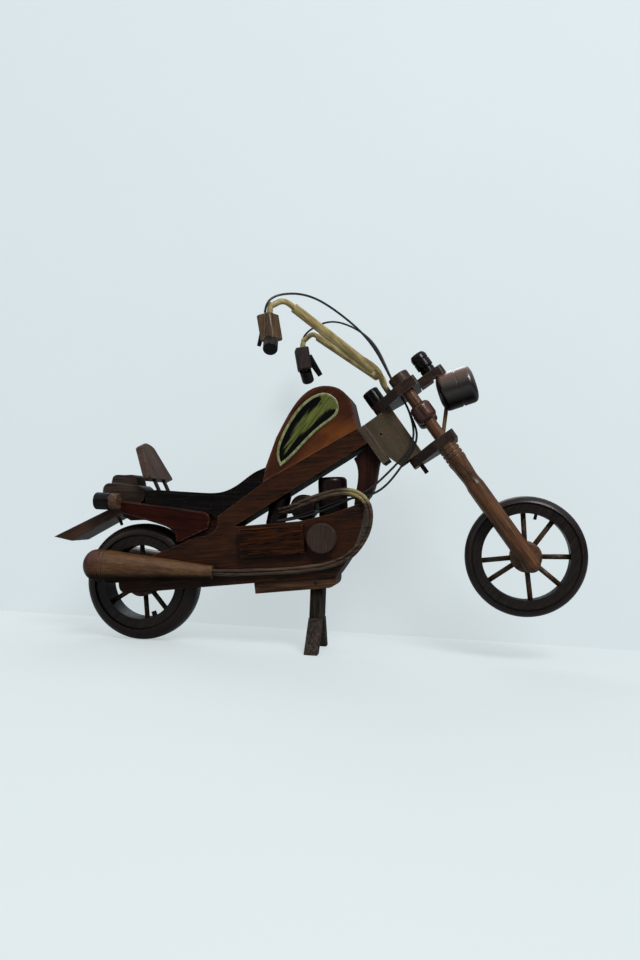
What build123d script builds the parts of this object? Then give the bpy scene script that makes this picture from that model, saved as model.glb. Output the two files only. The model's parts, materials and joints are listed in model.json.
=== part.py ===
from build123d import *
import math
import os

# Carved wooden toy chopper, millimetres. +X is the front of the bike, +Y its left side, +Z up.
# The bike stands at rest on its two stand feet and its rear tyre, nose up, front wheel in the air.
# The origin is the centre of the bounding box in plan, at floor level.

os.makedirs("parts", exist_ok=True)

SIDES = ((-1, "right"), (1, "left"))

# ---------------------------------------------------------------- driving dimensions
REAR_WHEEL_R = 30.0
REAR_AXLE_X = -88.0
REAR_AXLE_Z = REAR_WHEEL_R
REAR_TYRE_HALF = 7.5
REAR_SHOULDER = 5.8
REAR_RIM_R = 19.0
REAR_GROOVE_R = 24.0
FRONT_WHEEL_R = 29.3
FRONT_AXLE_X = 105.7
FRONT_AXLE_Z = 52.0
FRONT_TYRE_HALF = 5.5
FRONT_SHOULDER = 4.4
FRONT_RIM_R = 21.0
FRONT_GROOVE_R = 25.8
RIM_STEP = 0.8
GROOVE_WIDTH = 1.0
GROOVE_DEPTH = 1.0

SPOKE_R = 1.25
SPOKE_SOCKET = 1.5
HUB_R = 7.5
HUB_HALF = 7.2
HUB_GROOVE = 0.7
HUB_CHAMFER = 1.2

REAR_AXLE_R = 2.0
REAR_AXLE_HALF = 9.8
FRONT_AXLE_R = 1.5
RUNNING_FIT = 0.05

BODY_HALF = 11.0
CORE_HALF = 8.2
WHEEL_SLOT_R = 32.0
NOSE_UP = 7.0

STEER_X = 43.0
STEER_Z = 109.5
RAKE = 37.0
STEM_R = 1.75
STEM_TOP = 24.0
STEM_BOTTOM = -23.0
STEM_PIN_R = 1.1
HEAD_HALF = 7.5
HEAD_TOP = 14.0
HEAD_BOTTOM = -13.0
HEAD_REAR = -11.5
HEAD_FRONT = 4.0
BACK_PLATE_REAR = -15.2
BACK_PLATE_TOP = 13.8
BACK_PLATE_LOW = -7.5
BACK_PLATE_HALF = 9.5
PLATE_GAP = 0.1
PLATE_THICK = 4.9
FORK_OFFSET = 15.5
FORK_HALF_SPACING = 12.0
FORK_ROD_R = 2.75
FORK_SLIDER_R = 4.2
FORK_RING_R = 4.6
BEAD_R = 5.3
FORK_CAP_R = 5.3

HEADLIGHT_R = 9.5
HEADLIGHT_LENGTH = 19.0
HEADLIGHT_X = 70.0
HEADLIGHT_Z = 133.5
HEADLIGHT_TILT = 20.0

BAR_THIN_R = 1.4
BAR_THICK_R = 2.3
GRIP_R = 3.4
CABLE_R = 0.55

PIPE_R = 1.7
MUFFLER_R = 8.0
MUFFLER_FRONT_R = 3.3

STAND_PIVOT_X = 4.2
STAND_PIVOT_Z = 34.4
STAND_PIN_R = 1.0
STAND_HALF_X = 3.1
STAND_HALF_Y = 6.4
STAND_FOOT_TOP = 16.8

# ---------------------------------------------------------------- shared planes and places
rake_sin = math.sin(math.radians(RAKE))
rake_cos = math.cos(math.radians(RAKE))
STEER_FORWARD = (rake_cos, 0, rake_sin)
STEER_UP = (-rake_sin, 0, rake_cos)
STEER_ORIGIN = (STEER_X, 0, STEER_Z)
# across the steering axis: local x forward, local y to the left, local z up the stem
steer_across = Plane(origin=STEER_ORIGIN, x_dir=STEER_FORWARD, z_dir=STEER_UP)
# side view of the steering head: local x forward, local y up the stem
steer_side = Plane(origin=STEER_ORIGIN, x_dir=STEER_FORWARD, z_dir=(0, -1, 0))


def steer_point(forward, left, up):
    """World position of a point given along the steering head's own directions."""
    x = STEER_X + forward * rake_cos - up * rake_sin
    z = STEER_Z + forward * rake_sin + up * rake_cos
    return (x, left, z)


def rod_plane(start, end):
    """Plane at the start of a rod, its normal pointing along the rod."""
    return Plane(origin=start, z_dir=Vector(*end) - Vector(*start))


def rod_length(start, end):
    return (Vector(*end) - Vector(*start)).length


def deck_z(x):
    """Height of the flat deck that carries the seat and the tail block."""
    return DECK_REAR[1] + (x - DECK_REAR[0]) * DECK_SLOPE


def side_plane(side, distance):
    """Side-view plane at a distance from the middle: local x forward, local y up."""
    return Plane.XZ.offset(-side * distance)


# ---------------------------------------------------------------- frame outlines (X, Z)
FRAME_BOTTOM_REAR = (-94.0, 24.1)
FRAME_BOTTOM_FRONT = (14.5, 38.4)
DECK_REAR = (-98.5, 71.6)
DECK_FRONT = (-54.0, 67.6)
DECK_LOW = (-47.3, 65.2)
TUBE_KNEE = (-25.0, 82.5)
SEAT_TANK_FOOT = (-24.2, 83.04)
SEAT_TANK_HEAD = (-23.0, 91.0)
TUBE_TOP_FRONT = steer_point(BACK_PLATE_REAR, 0, BACK_PLATE_TOP)
TUBE_LOW_FRONT = steer_point(BACK_PLATE_REAR, 0, 5.2)
ENGINE_BAY_REAR = (-38.0, 60.7)
DECK_SLOPE = (DECK_FRONT[1] - DECK_REAR[1]) / (DECK_FRONT[0] - DECK_REAR[0])
CRANKCASE_TOP = [(-4.9, 64.8), (10.1, 68.9), (27.0, 75.5)]

with BuildPart() as main_frame:
    with BuildSketch(Plane.XZ):
        with BuildLine():
            Polyline(FRAME_BOTTOM_REAR, FRAME_BOTTOM_FRONT)
            Spline(FRAME_BOTTOM_FRONT, (20.5, 48.0), (26.0, 62.0), CRANKCASE_TOP[2])
            Polyline(CRANKCASE_TOP[2], CRANKCASE_TOP[1], CRANKCASE_TOP[0], ENGINE_BAY_REAR)
            Line(ENGINE_BAY_REAR, (TUBE_LOW_FRONT[0], TUBE_LOW_FRONT[2]))
            Line((TUBE_LOW_FRONT[0], TUBE_LOW_FRONT[2]), (TUBE_TOP_FRONT[0], TUBE_TOP_FRONT[2]))
            Polyline((TUBE_TOP_FRONT[0], TUBE_TOP_FRONT[2]), TUBE_KNEE, DECK_LOW)
            Spline(
                DECK_LOW,
                (-47.4, 60.0),
                (-51.0, 56.0),
                (-56.5, 54.8),
                (-67.3, 50.1),
                (-82.0, 43.6),
                (-94.0, 37.0),
            )
            Spline((-94.0, 37.0), (-98.0, 30.0), FRAME_BOTTOM_REAR, tangents=[(-1, -0.3), (1, -0.2)])
        make_face()
    extrude(amount=BODY_HALF, both=True)
    with BuildSketch(Plane.XZ):
        with BuildLine():
            Polyline(
                (-44.0, 52.0),
                (-44.0, 66.0),
                DECK_LOW,
                DECK_FRONT,
                DECK_REAR,
                (DECK_REAR[0], 63.6),
                (-66.0, 48.0),
                (-44.0, 52.0),
            )
        make_face()
    extrude(amount=CORE_HALF, both=True)
    with BuildSketch(Plane.XZ):
        with Locations((REAR_AXLE_X, REAR_AXLE_Z)):
            Circle(WHEEL_SLOT_R)
    extrude(amount=CORE_HALF, both=True, mode=Mode.SUBTRACT)
    with BuildSketch(Plane.XZ):
        with Locations((REAR_AXLE_X, REAR_AXLE_Z)):
            Circle(REAR_AXLE_R)
    extrude(amount=REAR_AXLE_HALF, both=True, mode=Mode.SUBTRACT)
main_frame.part.label = "main_frame"
export_step(main_frame.part, "parts/main_frame.step")

# ---------------------------------------------------------------- steering head block
STEM_BORE_R = STEM_R + RUNNING_FIT
NAIL_R = 0.6
NAIL_PLACE = (-7.5, 5.3)
NAIL_DEPTH = 2.0
with BuildPart() as headstock_block:
    with BuildSketch(steer_side):
        with BuildLine():
            Polyline(
                (HEAD_REAR, HEAD_TOP),
                (HEAD_FRONT, HEAD_TOP),
                (HEAD_FRONT, HEAD_BOTTOM),
                (-8.6, HEAD_BOTTOM),
                (HEAD_REAR, -4.5),
                (HEAD_REAR, HEAD_TOP),
            )
        make_face()
    extrude(amount=HEAD_HALF, both=True)
    with BuildSketch(steer_side):
        with BuildLine():
            Polyline(
                (BACK_PLATE_REAR, BACK_PLATE_TOP),
                (HEAD_REAR, BACK_PLATE_TOP),
                (HEAD_REAR, BACK_PLATE_LOW),
                (BACK_PLATE_REAR, BACK_PLATE_LOW),
                (BACK_PLATE_REAR, BACK_PLATE_TOP),
            )
        make_face()
    extrude(amount=BACK_PLATE_HALF, both=True)
    with BuildSketch(steer_across.offset(HEAD_BOTTOM)):
        Circle(STEM_BORE_R)
    extrude(amount=HEAD_TOP - HEAD_BOTTOM, mode=Mode.SUBTRACT)
    with BuildSketch(steer_side.offset(HEAD_HALF)):
        with Locations(NAIL_PLACE):
            Circle(NAIL_R)
    extrude(amount=-NAIL_DEPTH, mode=Mode.SUBTRACT)
headstock_block.part.label = "headstock_block"
export_step(headstock_block.part, "parts/headstock_block.step")

# ---------------------------------------------------------------- bent front strut of the frame
DOWN_TUBE_HALF = 5.0
with BuildPart() as down_tube:
    with BuildSketch(Plane.XZ):
        head_top = steer_point(BACK_PLATE_REAR, 0, 5.2)
        head_low = steer_point(BACK_PLATE_REAR, 0, -4.3)
        with BuildLine():
            Polyline((20.4, 96.8), (head_top[0], head_top[2]), (head_low[0], head_low[2]))
            Spline((head_low[0], head_low[2]), (32.4, 91.0), (31.4, 84.0), CRANKCASE_TOP[2])
            Line(CRANKCASE_TOP[2], (21.5, 73.22))
            Spline((21.5, 73.22), (22.2, 81.0), (22.8, 90.0), (20.4, 96.8))
        make_face()
    extrude(amount=DOWN_TUBE_HALF, both=True)
    add(main_frame.part, mode=Mode.SUBTRACT)
down_tube.part.label = "down_tube"
export_step(down_tube.part, "parts/down_tube.step")

# ---------------------------------------------------------------- fuel tank and its inlaid emblems
TANK_HALF = 11.5
TANK_NOSE = (18.6, 125.5)
EMBLEM_THICK = 0.6
with BuildPart() as fuel_tank:
    with BuildSketch(Plane.XZ):
        with BuildLine():
            Polyline(SEAT_TANK_HEAD, SEAT_TANK_FOOT, (TUBE_TOP_FRONT[0], TUBE_TOP_FRONT[2]))
            Line((TUBE_TOP_FRONT[0], TUBE_TOP_FRONT[2]), TANK_NOSE)
            Spline(
                TANK_NOSE,
                (12.6, 131.0),
                (5.6, 132.3),
                (-7.7, 124.9),
                (-18.1, 106.2),
                SEAT_TANK_HEAD,
                tangents=[(-0.6, 0.8), (-0.31, -0.95)],
            )
        make_face()
    extrude(amount=TANK_HALF, both=True)
fuel_tank.part.label = "fuel_tank"
export_step(fuel_tank.part, "parts/fuel_tank.step")

with BuildPart() as tank_emblems:
    for side, tag in SIDES:
        with BuildSketch(side_plane(side, TANK_HALF)):
            with BuildLine():
                Spline(
                    (-15.4, 91.6),
                    (-17.4, 97.0),
                    (-15.0, 107.9),
                    (-8.8, 119.0),
                    (0.0, 127.2),
                    (6.4, 128.7),
                    (12.0, 124.8),
                    (12.7, 119.6),
                    (6.6, 113.2),
                    (-2.6, 104.6),
                    (-9.8, 96.6),
                    (-15.4, 91.6),
                )
            make_face()
        extrude(amount=-side * EMBLEM_THICK)
tank_emblems.part.label = "tank_emblems"
export_step(tank_emblems.part, "parts/tank_emblems.step")

# ---------------------------------------------------------------- seat, backrest and its two pins
SEAT_HALF = 11.0
LEAN = Vector(-0.4567, 0, 0.8896)
PAD_FOOT = Vector(-80.8, 0, 83.6)
PAD_THICK = 3.8
PAD_HEIGHT = 20.8
PAD_SHOULDER = 18.6
PAD_HALF_TOP = 9.0
PAD_HALF_LOW = 17.5
PIN_HALF_SPACING = 7.0
PAD_PIN_R = 1.0
PAD_PIN_IN_PAD = 3.0
PAD_PIN_BELOW = 8.1
pad_plane = Plane(origin=PAD_FOOT, x_dir=(0, 1, 0), z_dir=Vector(0, 1, 0).cross(LEAN))
pad_pin_plane = Plane(
    origin=PAD_FOOT + LEAN * PAD_PIN_IN_PAD - pad_plane.z_dir * (PAD_THICK / 2),
    x_dir=(0, 1, 0),
    z_dir=-LEAN,
)
PAD_PIN_LENGTH = PAD_PIN_IN_PAD + PAD_PIN_BELOW

with BuildPart() as backrest_pins:
    with BuildSketch(pad_pin_plane):
        with Locations((-PIN_HALF_SPACING, 0), (PIN_HALF_SPACING, 0)):
            Circle(PAD_PIN_R)
    extrude(amount=PAD_PIN_LENGTH)
backrest_pins.part.label = "backrest_pins"
export_step(backrest_pins.part, "parts/backrest_pins.step")

with BuildPart() as backrest_pad:
    with BuildSketch(pad_plane):
        with BuildLine():
            Polyline(
                (-PAD_HALF_TOP, PAD_SHOULDER),
                (-PAD_HALF_LOW, 0),
                (PAD_HALF_LOW, 0),
                (PAD_HALF_TOP, PAD_SHOULDER),
            )
            ThreePointArc((PAD_HALF_TOP, PAD_SHOULDER), (0, PAD_HEIGHT), (-PAD_HALF_TOP, PAD_SHOULDER))
        make_face()
        fillet(vertices(), 1.2)
    extrude(amount=-PAD_THICK)
    add(backrest_pins.part, mode=Mode.SUBTRACT)
backrest_pad.part.label = "backrest_pad"
export_step(backrest_pad.part, "parts/backrest_pad.step")

SEAT_REAR_X = -85.4
SEAT_REAR_Z = deck_z(SEAT_REAR_X)
with BuildPart() as seat:
    with BuildSketch(Plane.XZ):
        with BuildLine():
            Polyline((SEAT_REAR_X, 76.9), (SEAT_REAR_X, SEAT_REAR_Z), DECK_FRONT, DECK_LOW, TUBE_KNEE)
            Polyline(TUBE_KNEE, SEAT_TANK_FOOT, SEAT_TANK_HEAD)
            Spline(
                SEAT_TANK_HEAD,
                (-28.1, 88.6),
                (-36.0, 82.6),
                (-44.0, 78.2),
                (-58.0, 77.2),
                (-76.0, 77.6),
                (SEAT_REAR_X, 76.9),
                tangents=[(-0.9, -0.42), (-1, -0.2)],
            )
        make_face()
    extrude(amount=SEAT_HALF, both=True)
    add(backrest_pins.part, mode=Mode.SUBTRACT)
seat.part.label = "seat"
export_step(seat.part, "parts/seat.step")

# ---------------------------------------------------------------- side panels beside the wheel slot
PANEL_THICK = 4.0
PANEL_REAR_X = -98.3
for side, tag in SIDES:
    with BuildPart() as side_panel:
        with BuildSketch(side_plane(side, CORE_HALF)):
            with BuildLine():
                Polyline((PANEL_REAR_X, 65.2), (PANEL_REAR_X, 71.58), (-84.8, 70.35), (-54.6, 67.6))
                Spline(
                    (-54.6, 67.6),
                    (-51.6, 66.2),
                    (-50.6, 63.0),
                    (-51.4, 59.6),
                    (-55.0, 57.2),
                    tangents=[(1, -0.1), (-1, -0.5)],
                )
                Polyline((-55.0, 57.2), (-65.8, 51.6), (-67.9, 52.0), (-68.7, 56.7), (-70.2, 58.4))
                Polyline((-70.2, 58.4), (-79.0, 60.8), (-84.4, 62.1), (PANEL_REAR_X, 65.2))
            make_face()
        extrude(amount=-side * PANEL_THICK)
        chamfer(side_panel.faces().sort_by(Axis.Y)[0 if side < 0 else -1].edges(), 0.5)
    side_panel.part.label = f"side_panel_{tag}"
    export_step(side_panel.part, f"parts/side_panel_{tag}.step")

# ---------------------------------------------------------------- rear fender plank and its peg
FENDER_HALF = 10.0
FENDER_TIP_X = -135.0
FENDER_TIP_Z = 51.4
FENDER_HEEL = (-124.8, 49.6)
PEG_TOP = (-105.0, 0, 65.3)
PEG_END = (-101.9, 0, 58.6)
FENDER_PEG_R = 0.8
with BuildPart() as fender_pin:
    with BuildSketch(rod_plane(PEG_TOP, PEG_END)):
        Circle(FENDER_PEG_R)
    extrude(amount=rod_length(PEG_TOP, PEG_END))
fender_pin.part.label = "fender_pin"
export_step(fender_pin.part, "parts/fender_pin.step")

with BuildPart() as rear_fender:
    with BuildSketch(Plane.XZ):
        with BuildLine():
            Polyline(
                (DECK_REAR[0], 70.4),
                (DECK_REAR[0], 64.9),
                FENDER_HEEL,
                (FENDER_TIP_X, FENDER_TIP_Z),
                (DECK_REAR[0], 70.4),
            )
        make_face()
    extrude(amount=FENDER_HALF, both=True)
    add(fender_pin.part, mode=Mode.SUBTRACT)
rear_fender.part.label = "rear_fender"
export_step(rear_fender.part, "parts/rear_fender.step")

# ---------------------------------------------------------------- lobed tail block and tail lamps
TAIL_HALF = 8.0
TAIL_UPPER_HALF = 6.5
with BuildPart() as tail_block:
    with BuildSketch(Plane.XZ):
        with BuildLine():
            Polyline((-107.0, deck_z(-107.0)), (-89.5, deck_z(-89.5)))
            Spline((-89.5, deck_z(-89.5)), (-87.2, 75.0), (-90.5, 79.6), tangents=[(1, 0.4), (-1, 0.5)])
            Line((-90.5, 79.6), (-107.0, 80.4))
            Spline(
                (-107.0, 80.4),
                (-110.0, 76.5),
                (-107.0, deck_z(-107.0)),
                tangents=[(-1, -0.3), (1, -0.3)],
            )
        make_face()
    extrude(amount=TAIL_HALF, both=True)
    with BuildSketch(Plane.XZ):
        with BuildLine():
            Polyline((-106.4, 79.0), (-105.6, 83.2))
            Spline((-105.6, 83.2), (-99.0, 84.9), (-92.8, 83.6), tangents=[(0.4, 1), (0.3, -1)])
            Polyline((-92.8, 83.6), (-91.6, 79.0), (-106.4, 79.0))
        make_face()
    extrude(amount=TAIL_UPPER_HALF, both=True)
tail_block.part.label = "tail_block"
export_step(tail_block.part, "parts/tail_block.step")

LAMP_HALF_SPACING = 14.4
LAMP_Z = 71.0
LAMP_BASE_R = 4.1
LAMP_R = 4.4
LAMP_BASE_LENGTH = 4.4
LAMP_LENGTH = 8.2
with BuildPart() as tail_lamp_bases:
    with BuildSketch(Plane.YZ.offset(PANEL_REAR_X)):
        with Locations((-LAMP_HALF_SPACING, LAMP_Z), (LAMP_HALF_SPACING, LAMP_Z)):
            Circle(LAMP_BASE_R)
    extrude(amount=-LAMP_BASE_LENGTH)
tail_lamp_bases.part.label = "tail_lamp_bases"
export_step(tail_lamp_bases.part, "parts/tail_lamp_bases.step")

with BuildPart() as tail_lamps:
    with BuildSketch(Plane.YZ.offset(PANEL_REAR_X - LAMP_BASE_LENGTH)):
        with Locations((-LAMP_HALF_SPACING, LAMP_Z), (LAMP_HALF_SPACING, LAMP_Z)):
            Circle(LAMP_R)
    extrude(amount=-LAMP_LENGTH)
    fillet(tail_lamps.faces().sort_by(Axis.X)[0:2].edges(), 1.2)
tail_lamps.part.label = "tail_lamps"
export_step(tail_lamps.part, "parts/tail_lamps.step")

# ---------------------------------------------------------------- gearbox blocks and round covers
GEARBOX_X = -17.9
GEARBOX_Z = 54.4
GEARBOX_LENGTH = 32.6
GEARBOX_HEIGHT = 14.2
GEARBOX_THICK = 4.0
COVER_X = 7.2
COVER_Z = 56.8
COVER_R = 7.5
COVER_THICK = 5.0
for side, tag in SIDES:
    with BuildPart() as gearbox_block:
        with BuildSketch(side_plane(side, BODY_HALF)):
            with Locations(Location((GEARBOX_X, GEARBOX_Z, 0), (0, 0, NOSE_UP))):
                Rectangle(GEARBOX_LENGTH, GEARBOX_HEIGHT)
        extrude(amount=-side * GEARBOX_THICK)
        chamfer(gearbox_block.faces().sort_by(Axis.Y)[0 if side < 0 else -1].edges(), 0.4)
    gearbox_block.part.label = f"gearbox_block_{tag}"
    export_step(gearbox_block.part, f"parts/gearbox_block_{tag}.step")

with BuildPart() as round_covers:
    for side, tag in SIDES:
        with BuildSketch(side_plane(side, BODY_HALF)):
            with Locations((COVER_X, COVER_Z)):
                Circle(COVER_R)
        extrude(amount=-side * COVER_THICK)
    outer_faces = round_covers.faces().sort_by(Axis.Y)
    fillet(outer_faces[0].edges() + outer_faces[-1].edges(), 0.8)
round_covers.part.label = "round_covers"
export_step(round_covers.part, "parts/round_covers.step")

# ---------------------------------------------------------------- cylinders and air cleaner in the engine bay
FRONT_CYLINDER_R = 7.3
with BuildPart() as front_cylinder:
    with BuildSketch(Plane(origin=(11.0, 0, 62.0), x_dir=(0, 1, 0), z_dir=(-0.07, 0, 1))):
        Circle(FRONT_CYLINDER_R)
    extrude(amount=25.5)
    fillet(front_cylinder.faces().sort_by(Axis.Z)[-1].edges(), 2.2)
    add(main_frame.part, mode=Mode.SUBTRACT)
front_cylinder.part.label = "front_cylinder"
export_step(front_cylinder.part, "parts/front_cylinder.step")

REAR_CYLINDER_R = 5.0
with BuildPart() as rear_cylinder:
    with BuildSketch(Plane(origin=(-20.0, 0, 58.0), x_dir=(0, 1, 0), z_dir=(0.18, 0, 1))):
        Circle(REAR_CYLINDER_R)
    extrude(amount=22)
    add(main_frame.part, mode=Mode.SUBTRACT)
rear_cylinder.part.label = "rear_cylinder"
export_step(rear_cylinder.part, "parts/rear_cylinder.step")

AIR_CLEANER_R = 6.5
AIR_CLEANER_HALF = 7.0
with BuildPart() as air_cleaner:
    with BuildSketch(Plane.XZ):
        with Locations((-4.3, 71.6)):
            Circle(AIR_CLEANER_R)
    extrude(amount=AIR_CLEANER_HALF, both=True)
    fillet(air_cleaner.edges(), 1.5)
    add(main_frame.part, mode=Mode.SUBTRACT)
air_cleaner.part.label = "air_cleaner"
export_step(air_cleaner.part, "parts/air_cleaner.step")

# ---------------------------------------------------------------- exhaust pipes and mufflers
PIPE_TUCK = {"right": 0.0, "left": 3.0}
MUFFLER_REAR = (-113.6, 18.6, 38.6)
MUFFLER_FRONT = (-47.3, 14.1, 37.5)
MUFFLER_SOCKET = 4.0
MUFFLER_END = 6.5
MUFFLER_GROOVES = (9.2, 11.6)
MUFFLER_GROOVE_DEPTH = 0.5
MUFFLER_BODY_START = 13.0
for side, tag in SIDES:
    rear = (MUFFLER_REAR[0], side * MUFFLER_REAR[1], MUFFLER_REAR[2])
    front = (MUFFLER_FRONT[0], side * MUFFLER_FRONT[1], MUFFLER_FRONT[2])
    axis_dir = (Vector(*front) - Vector(*rear)).normalized()
    length = rod_length(rear, front)
    inside = Vector(*front) - axis_dir * MUFFLER_SOCKET
    tuck = PIPE_TUCK[tag]
    with BuildPart() as exhaust_pipe:
        with BuildLine() as pipe_line:
            Spline(
                (-16.5, side * 4.6, 68.2),
                (-11.5, side * 10.3, 70.4),
                (-4.2, side * 12.9, 73.4),
                (5.6, side * 13.0, 77.8),
                (15.4, side * 13.0, 80.2),
                (23.6 - tuck, side * 13.0, 80.4),
                (29.0 - tuck, side * 13.0, 76.0),
                (31.0 - tuck, side * 13.0, 68.0),
                (27.8 - tuck, side * 13.0, 57.0),
                (21.0 - tuck / 2, side * 13.0, 48.8),
                (11.0, side * 13.0, 43.8),
                (-3.0, side * 13.0, 41.0),
                (-24.0, side * 13.0, 38.7),
                front,
                (inside.X, inside.Y, inside.Z),
            )
        with BuildSketch(Plane(origin=pipe_line.line @ 0, z_dir=pipe_line.line % 0)):
            Circle(PIPE_R)
        sweep(path=pipe_line.line)
        with BuildSketch(Plane(origin=(-20.0, 0, 58.0), x_dir=(0, 1, 0), z_dir=(0.18, 0, 1))):
            Circle(REAR_CYLINDER_R)
        extrude(amount=22, mode=Mode.SUBTRACT)
    exhaust_pipe.part.label = f"exhaust_pipe_{tag}"
    export_step(exhaust_pipe.part, f"parts/exhaust_pipe_{tag}.step")

    with BuildPart() as muffler:
        with BuildSketch(Plane(origin=rear, x_dir=axis_dir, z_dir=Vector(0, 0, -1).cross(axis_dir))):
            with BuildLine():
                Spline(
                    (0, 0),
                    (1.8, 5.4),
                    (MUFFLER_END, MUFFLER_R),
                    tangents=[(0, 1), (1, 0.1)],
                )
                Polyline(
                    (MUFFLER_END, MUFFLER_R),
                    (MUFFLER_BODY_START, MUFFLER_R),
                    (length, MUFFLER_FRONT_R),
                    (length, 0),
                    (0, 0),
                )
            make_face()
            with Locations((MUFFLER_GROOVES[0], MUFFLER_R), (MUFFLER_GROOVES[1], MUFFLER_R)):
                Rectangle(0.7, 2 * MUFFLER_GROOVE_DEPTH, mode=Mode.SUBTRACT)
        revolve(axis=Axis(rear, axis_dir))
        with Locations((-80, 0, 38)):
            Box(120, 2 * BODY_HALF, 40, mode=Mode.SUBTRACT)
        add(exhaust_pipe.part, mode=Mode.SUBTRACT)
    muffler.part.label = f"muffler_{tag}"
    export_step(muffler.part, f"parts/muffler_{tag}.step")

# ---------------------------------------------------------------- belly block with the slot for the stand
BELLY_HALF = 9.5
BELLY_DROP = 5.4
BELLY_REAR_X = -27.0
BELLY_FRONT_X = 10.5
SLOT_HALF = STAND_HALF_Y + 0.3
with BuildPart() as belly_block:
    with BuildSketch(Plane.XZ):
        rise = FRAME_BOTTOM_FRONT[1] - FRAME_BOTTOM_REAR[1]
        slope = rise / (FRAME_BOTTOM_FRONT[0] - FRAME_BOTTOM_REAR[0])
        rear_top = (BELLY_REAR_X, FRAME_BOTTOM_REAR[1] + slope * (BELLY_REAR_X - FRAME_BOTTOM_REAR[0]))
        rear_low = (rear_top[0] + 0.9, rear_top[1] - BELLY_DROP)
        front_low = (BELLY_FRONT_X, rear_low[1] + slope * (BELLY_FRONT_X - rear_low[0]))
        with BuildLine():
            Polyline(FRAME_BOTTOM_FRONT, rear_top, rear_low, front_low)
            Spline(front_low, (14.4, 35.4), FRAME_BOTTOM_FRONT, tangents=[(1, slope), (0, 1)])
        make_face()
    extrude(amount=BELLY_HALF, both=True)
    with Locations((-1.6, 0, 33.0)):
        Box(19.6, 2 * SLOT_HALF, 14.0, mode=Mode.SUBTRACT)
    with BuildSketch(Plane.XZ):
        with Locations((STAND_PIVOT_X, STAND_PIVOT_Z)):
            Circle(STAND_PIN_R)
    extrude(amount=BELLY_HALF, both=True, mode=Mode.SUBTRACT)
belly_block.part.label = "belly_block"
export_step(belly_block.part, "parts/belly_block.step")

with BuildPart() as stand_pin:
    with BuildSketch(Plane.XZ):
        with Locations((STAND_PIVOT_X, STAND_PIVOT_Z)):
            Circle(STAND_PIN_R)
    extrude(amount=BELLY_HALF, both=True)
stand_pin.part.label = "stand_pin"
export_step(stand_pin.part, "parts/stand_pin.step")

# ---------------------------------------------------------------- folding stand: post and two splayed feet
POST_TOP_R = 2.0
with BuildPart() as stand_post:
    with BuildSketch(Plane.XZ):
        with BuildLine():
            Polyline(
                (STAND_PIVOT_X - POST_TOP_R, STAND_PIVOT_Z),
                (STAND_PIVOT_X - STAND_HALF_X, STAND_PIVOT_Z - 2.6),
                (STAND_PIVOT_X - STAND_HALF_X, STAND_FOOT_TOP),
                (STAND_PIVOT_X + STAND_HALF_X, STAND_FOOT_TOP),
                (STAND_PIVOT_X + STAND_HALF_X, STAND_PIVOT_Z - 2.6),
                (STAND_PIVOT_X + POST_TOP_R, STAND_PIVOT_Z),
            )
            CenterArc((STAND_PIVOT_X, STAND_PIVOT_Z), POST_TOP_R, 0, 180)
        make_face()
        with Locations((STAND_PIVOT_X, STAND_PIVOT_Z)):
            Circle(STAND_PIN_R + RUNNING_FIT, mode=Mode.SUBTRACT)
    extrude(amount=STAND_HALF_Y, both=True)
stand_post.part.label = "stand_post"
export_step(stand_post.part, "parts/stand_post.step")

FOOT_HALF_X = 3.4
for side, tag in SIDES:
    with BuildPart() as stand_foot:
        with BuildSketch(Plane.YZ.offset(STAND_PIVOT_X - FOOT_HALF_X)):
            with BuildLine():
                Polyline(
                    (side * 1.4, STAND_FOOT_TOP),
                    (side * 6.6, STAND_FOOT_TOP),
                    (side * 11.5, 9.0),
                    (side * 17.0, 0),
                    (side * 11.6, 0),
                    (side * 6.2, 8.0),
                    (side * 1.4, STAND_FOOT_TOP),
                )
            make_face()
        extrude(amount=2 * FOOT_HALF_X)
    stand_foot.part.label = f"stand_foot_{tag}"
    export_step(stand_foot.part, f"parts/stand_foot_{tag}.step")

# ---------------------------------------------------------------- wheels
# each wheel: axle place, outer radius, half width, shoulder, rim, groove, axle radius and half length
WHEELS = {
    "rear": (
        (REAR_AXLE_X, REAR_AXLE_Z),
        (REAR_WHEEL_R, REAR_TYRE_HALF, REAR_SHOULDER),
        (REAR_RIM_R, REAR_GROOVE_R),
        (REAR_AXLE_R, REAR_AXLE_HALF),
    ),
    "front": (
        (FRONT_AXLE_X, FRONT_AXLE_Z),
        (FRONT_WHEEL_R, FRONT_TYRE_HALF, FRONT_SHOULDER),
        (FRONT_RIM_R, FRONT_GROOVE_R),
        (FRONT_AXLE_R, FORK_HALF_SPACING),
    ),
}
# the sticks were set by eye on the real toy, so their angles are uneven
SPOKE_ANGLES = {
    "rear": (2, 48, 97, 137, 182, 214, 277, 312),
    "front": (2, 55, 95, 130, 188, 216, 278, 322),
}
PEG_LENGTH = 3.6
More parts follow.
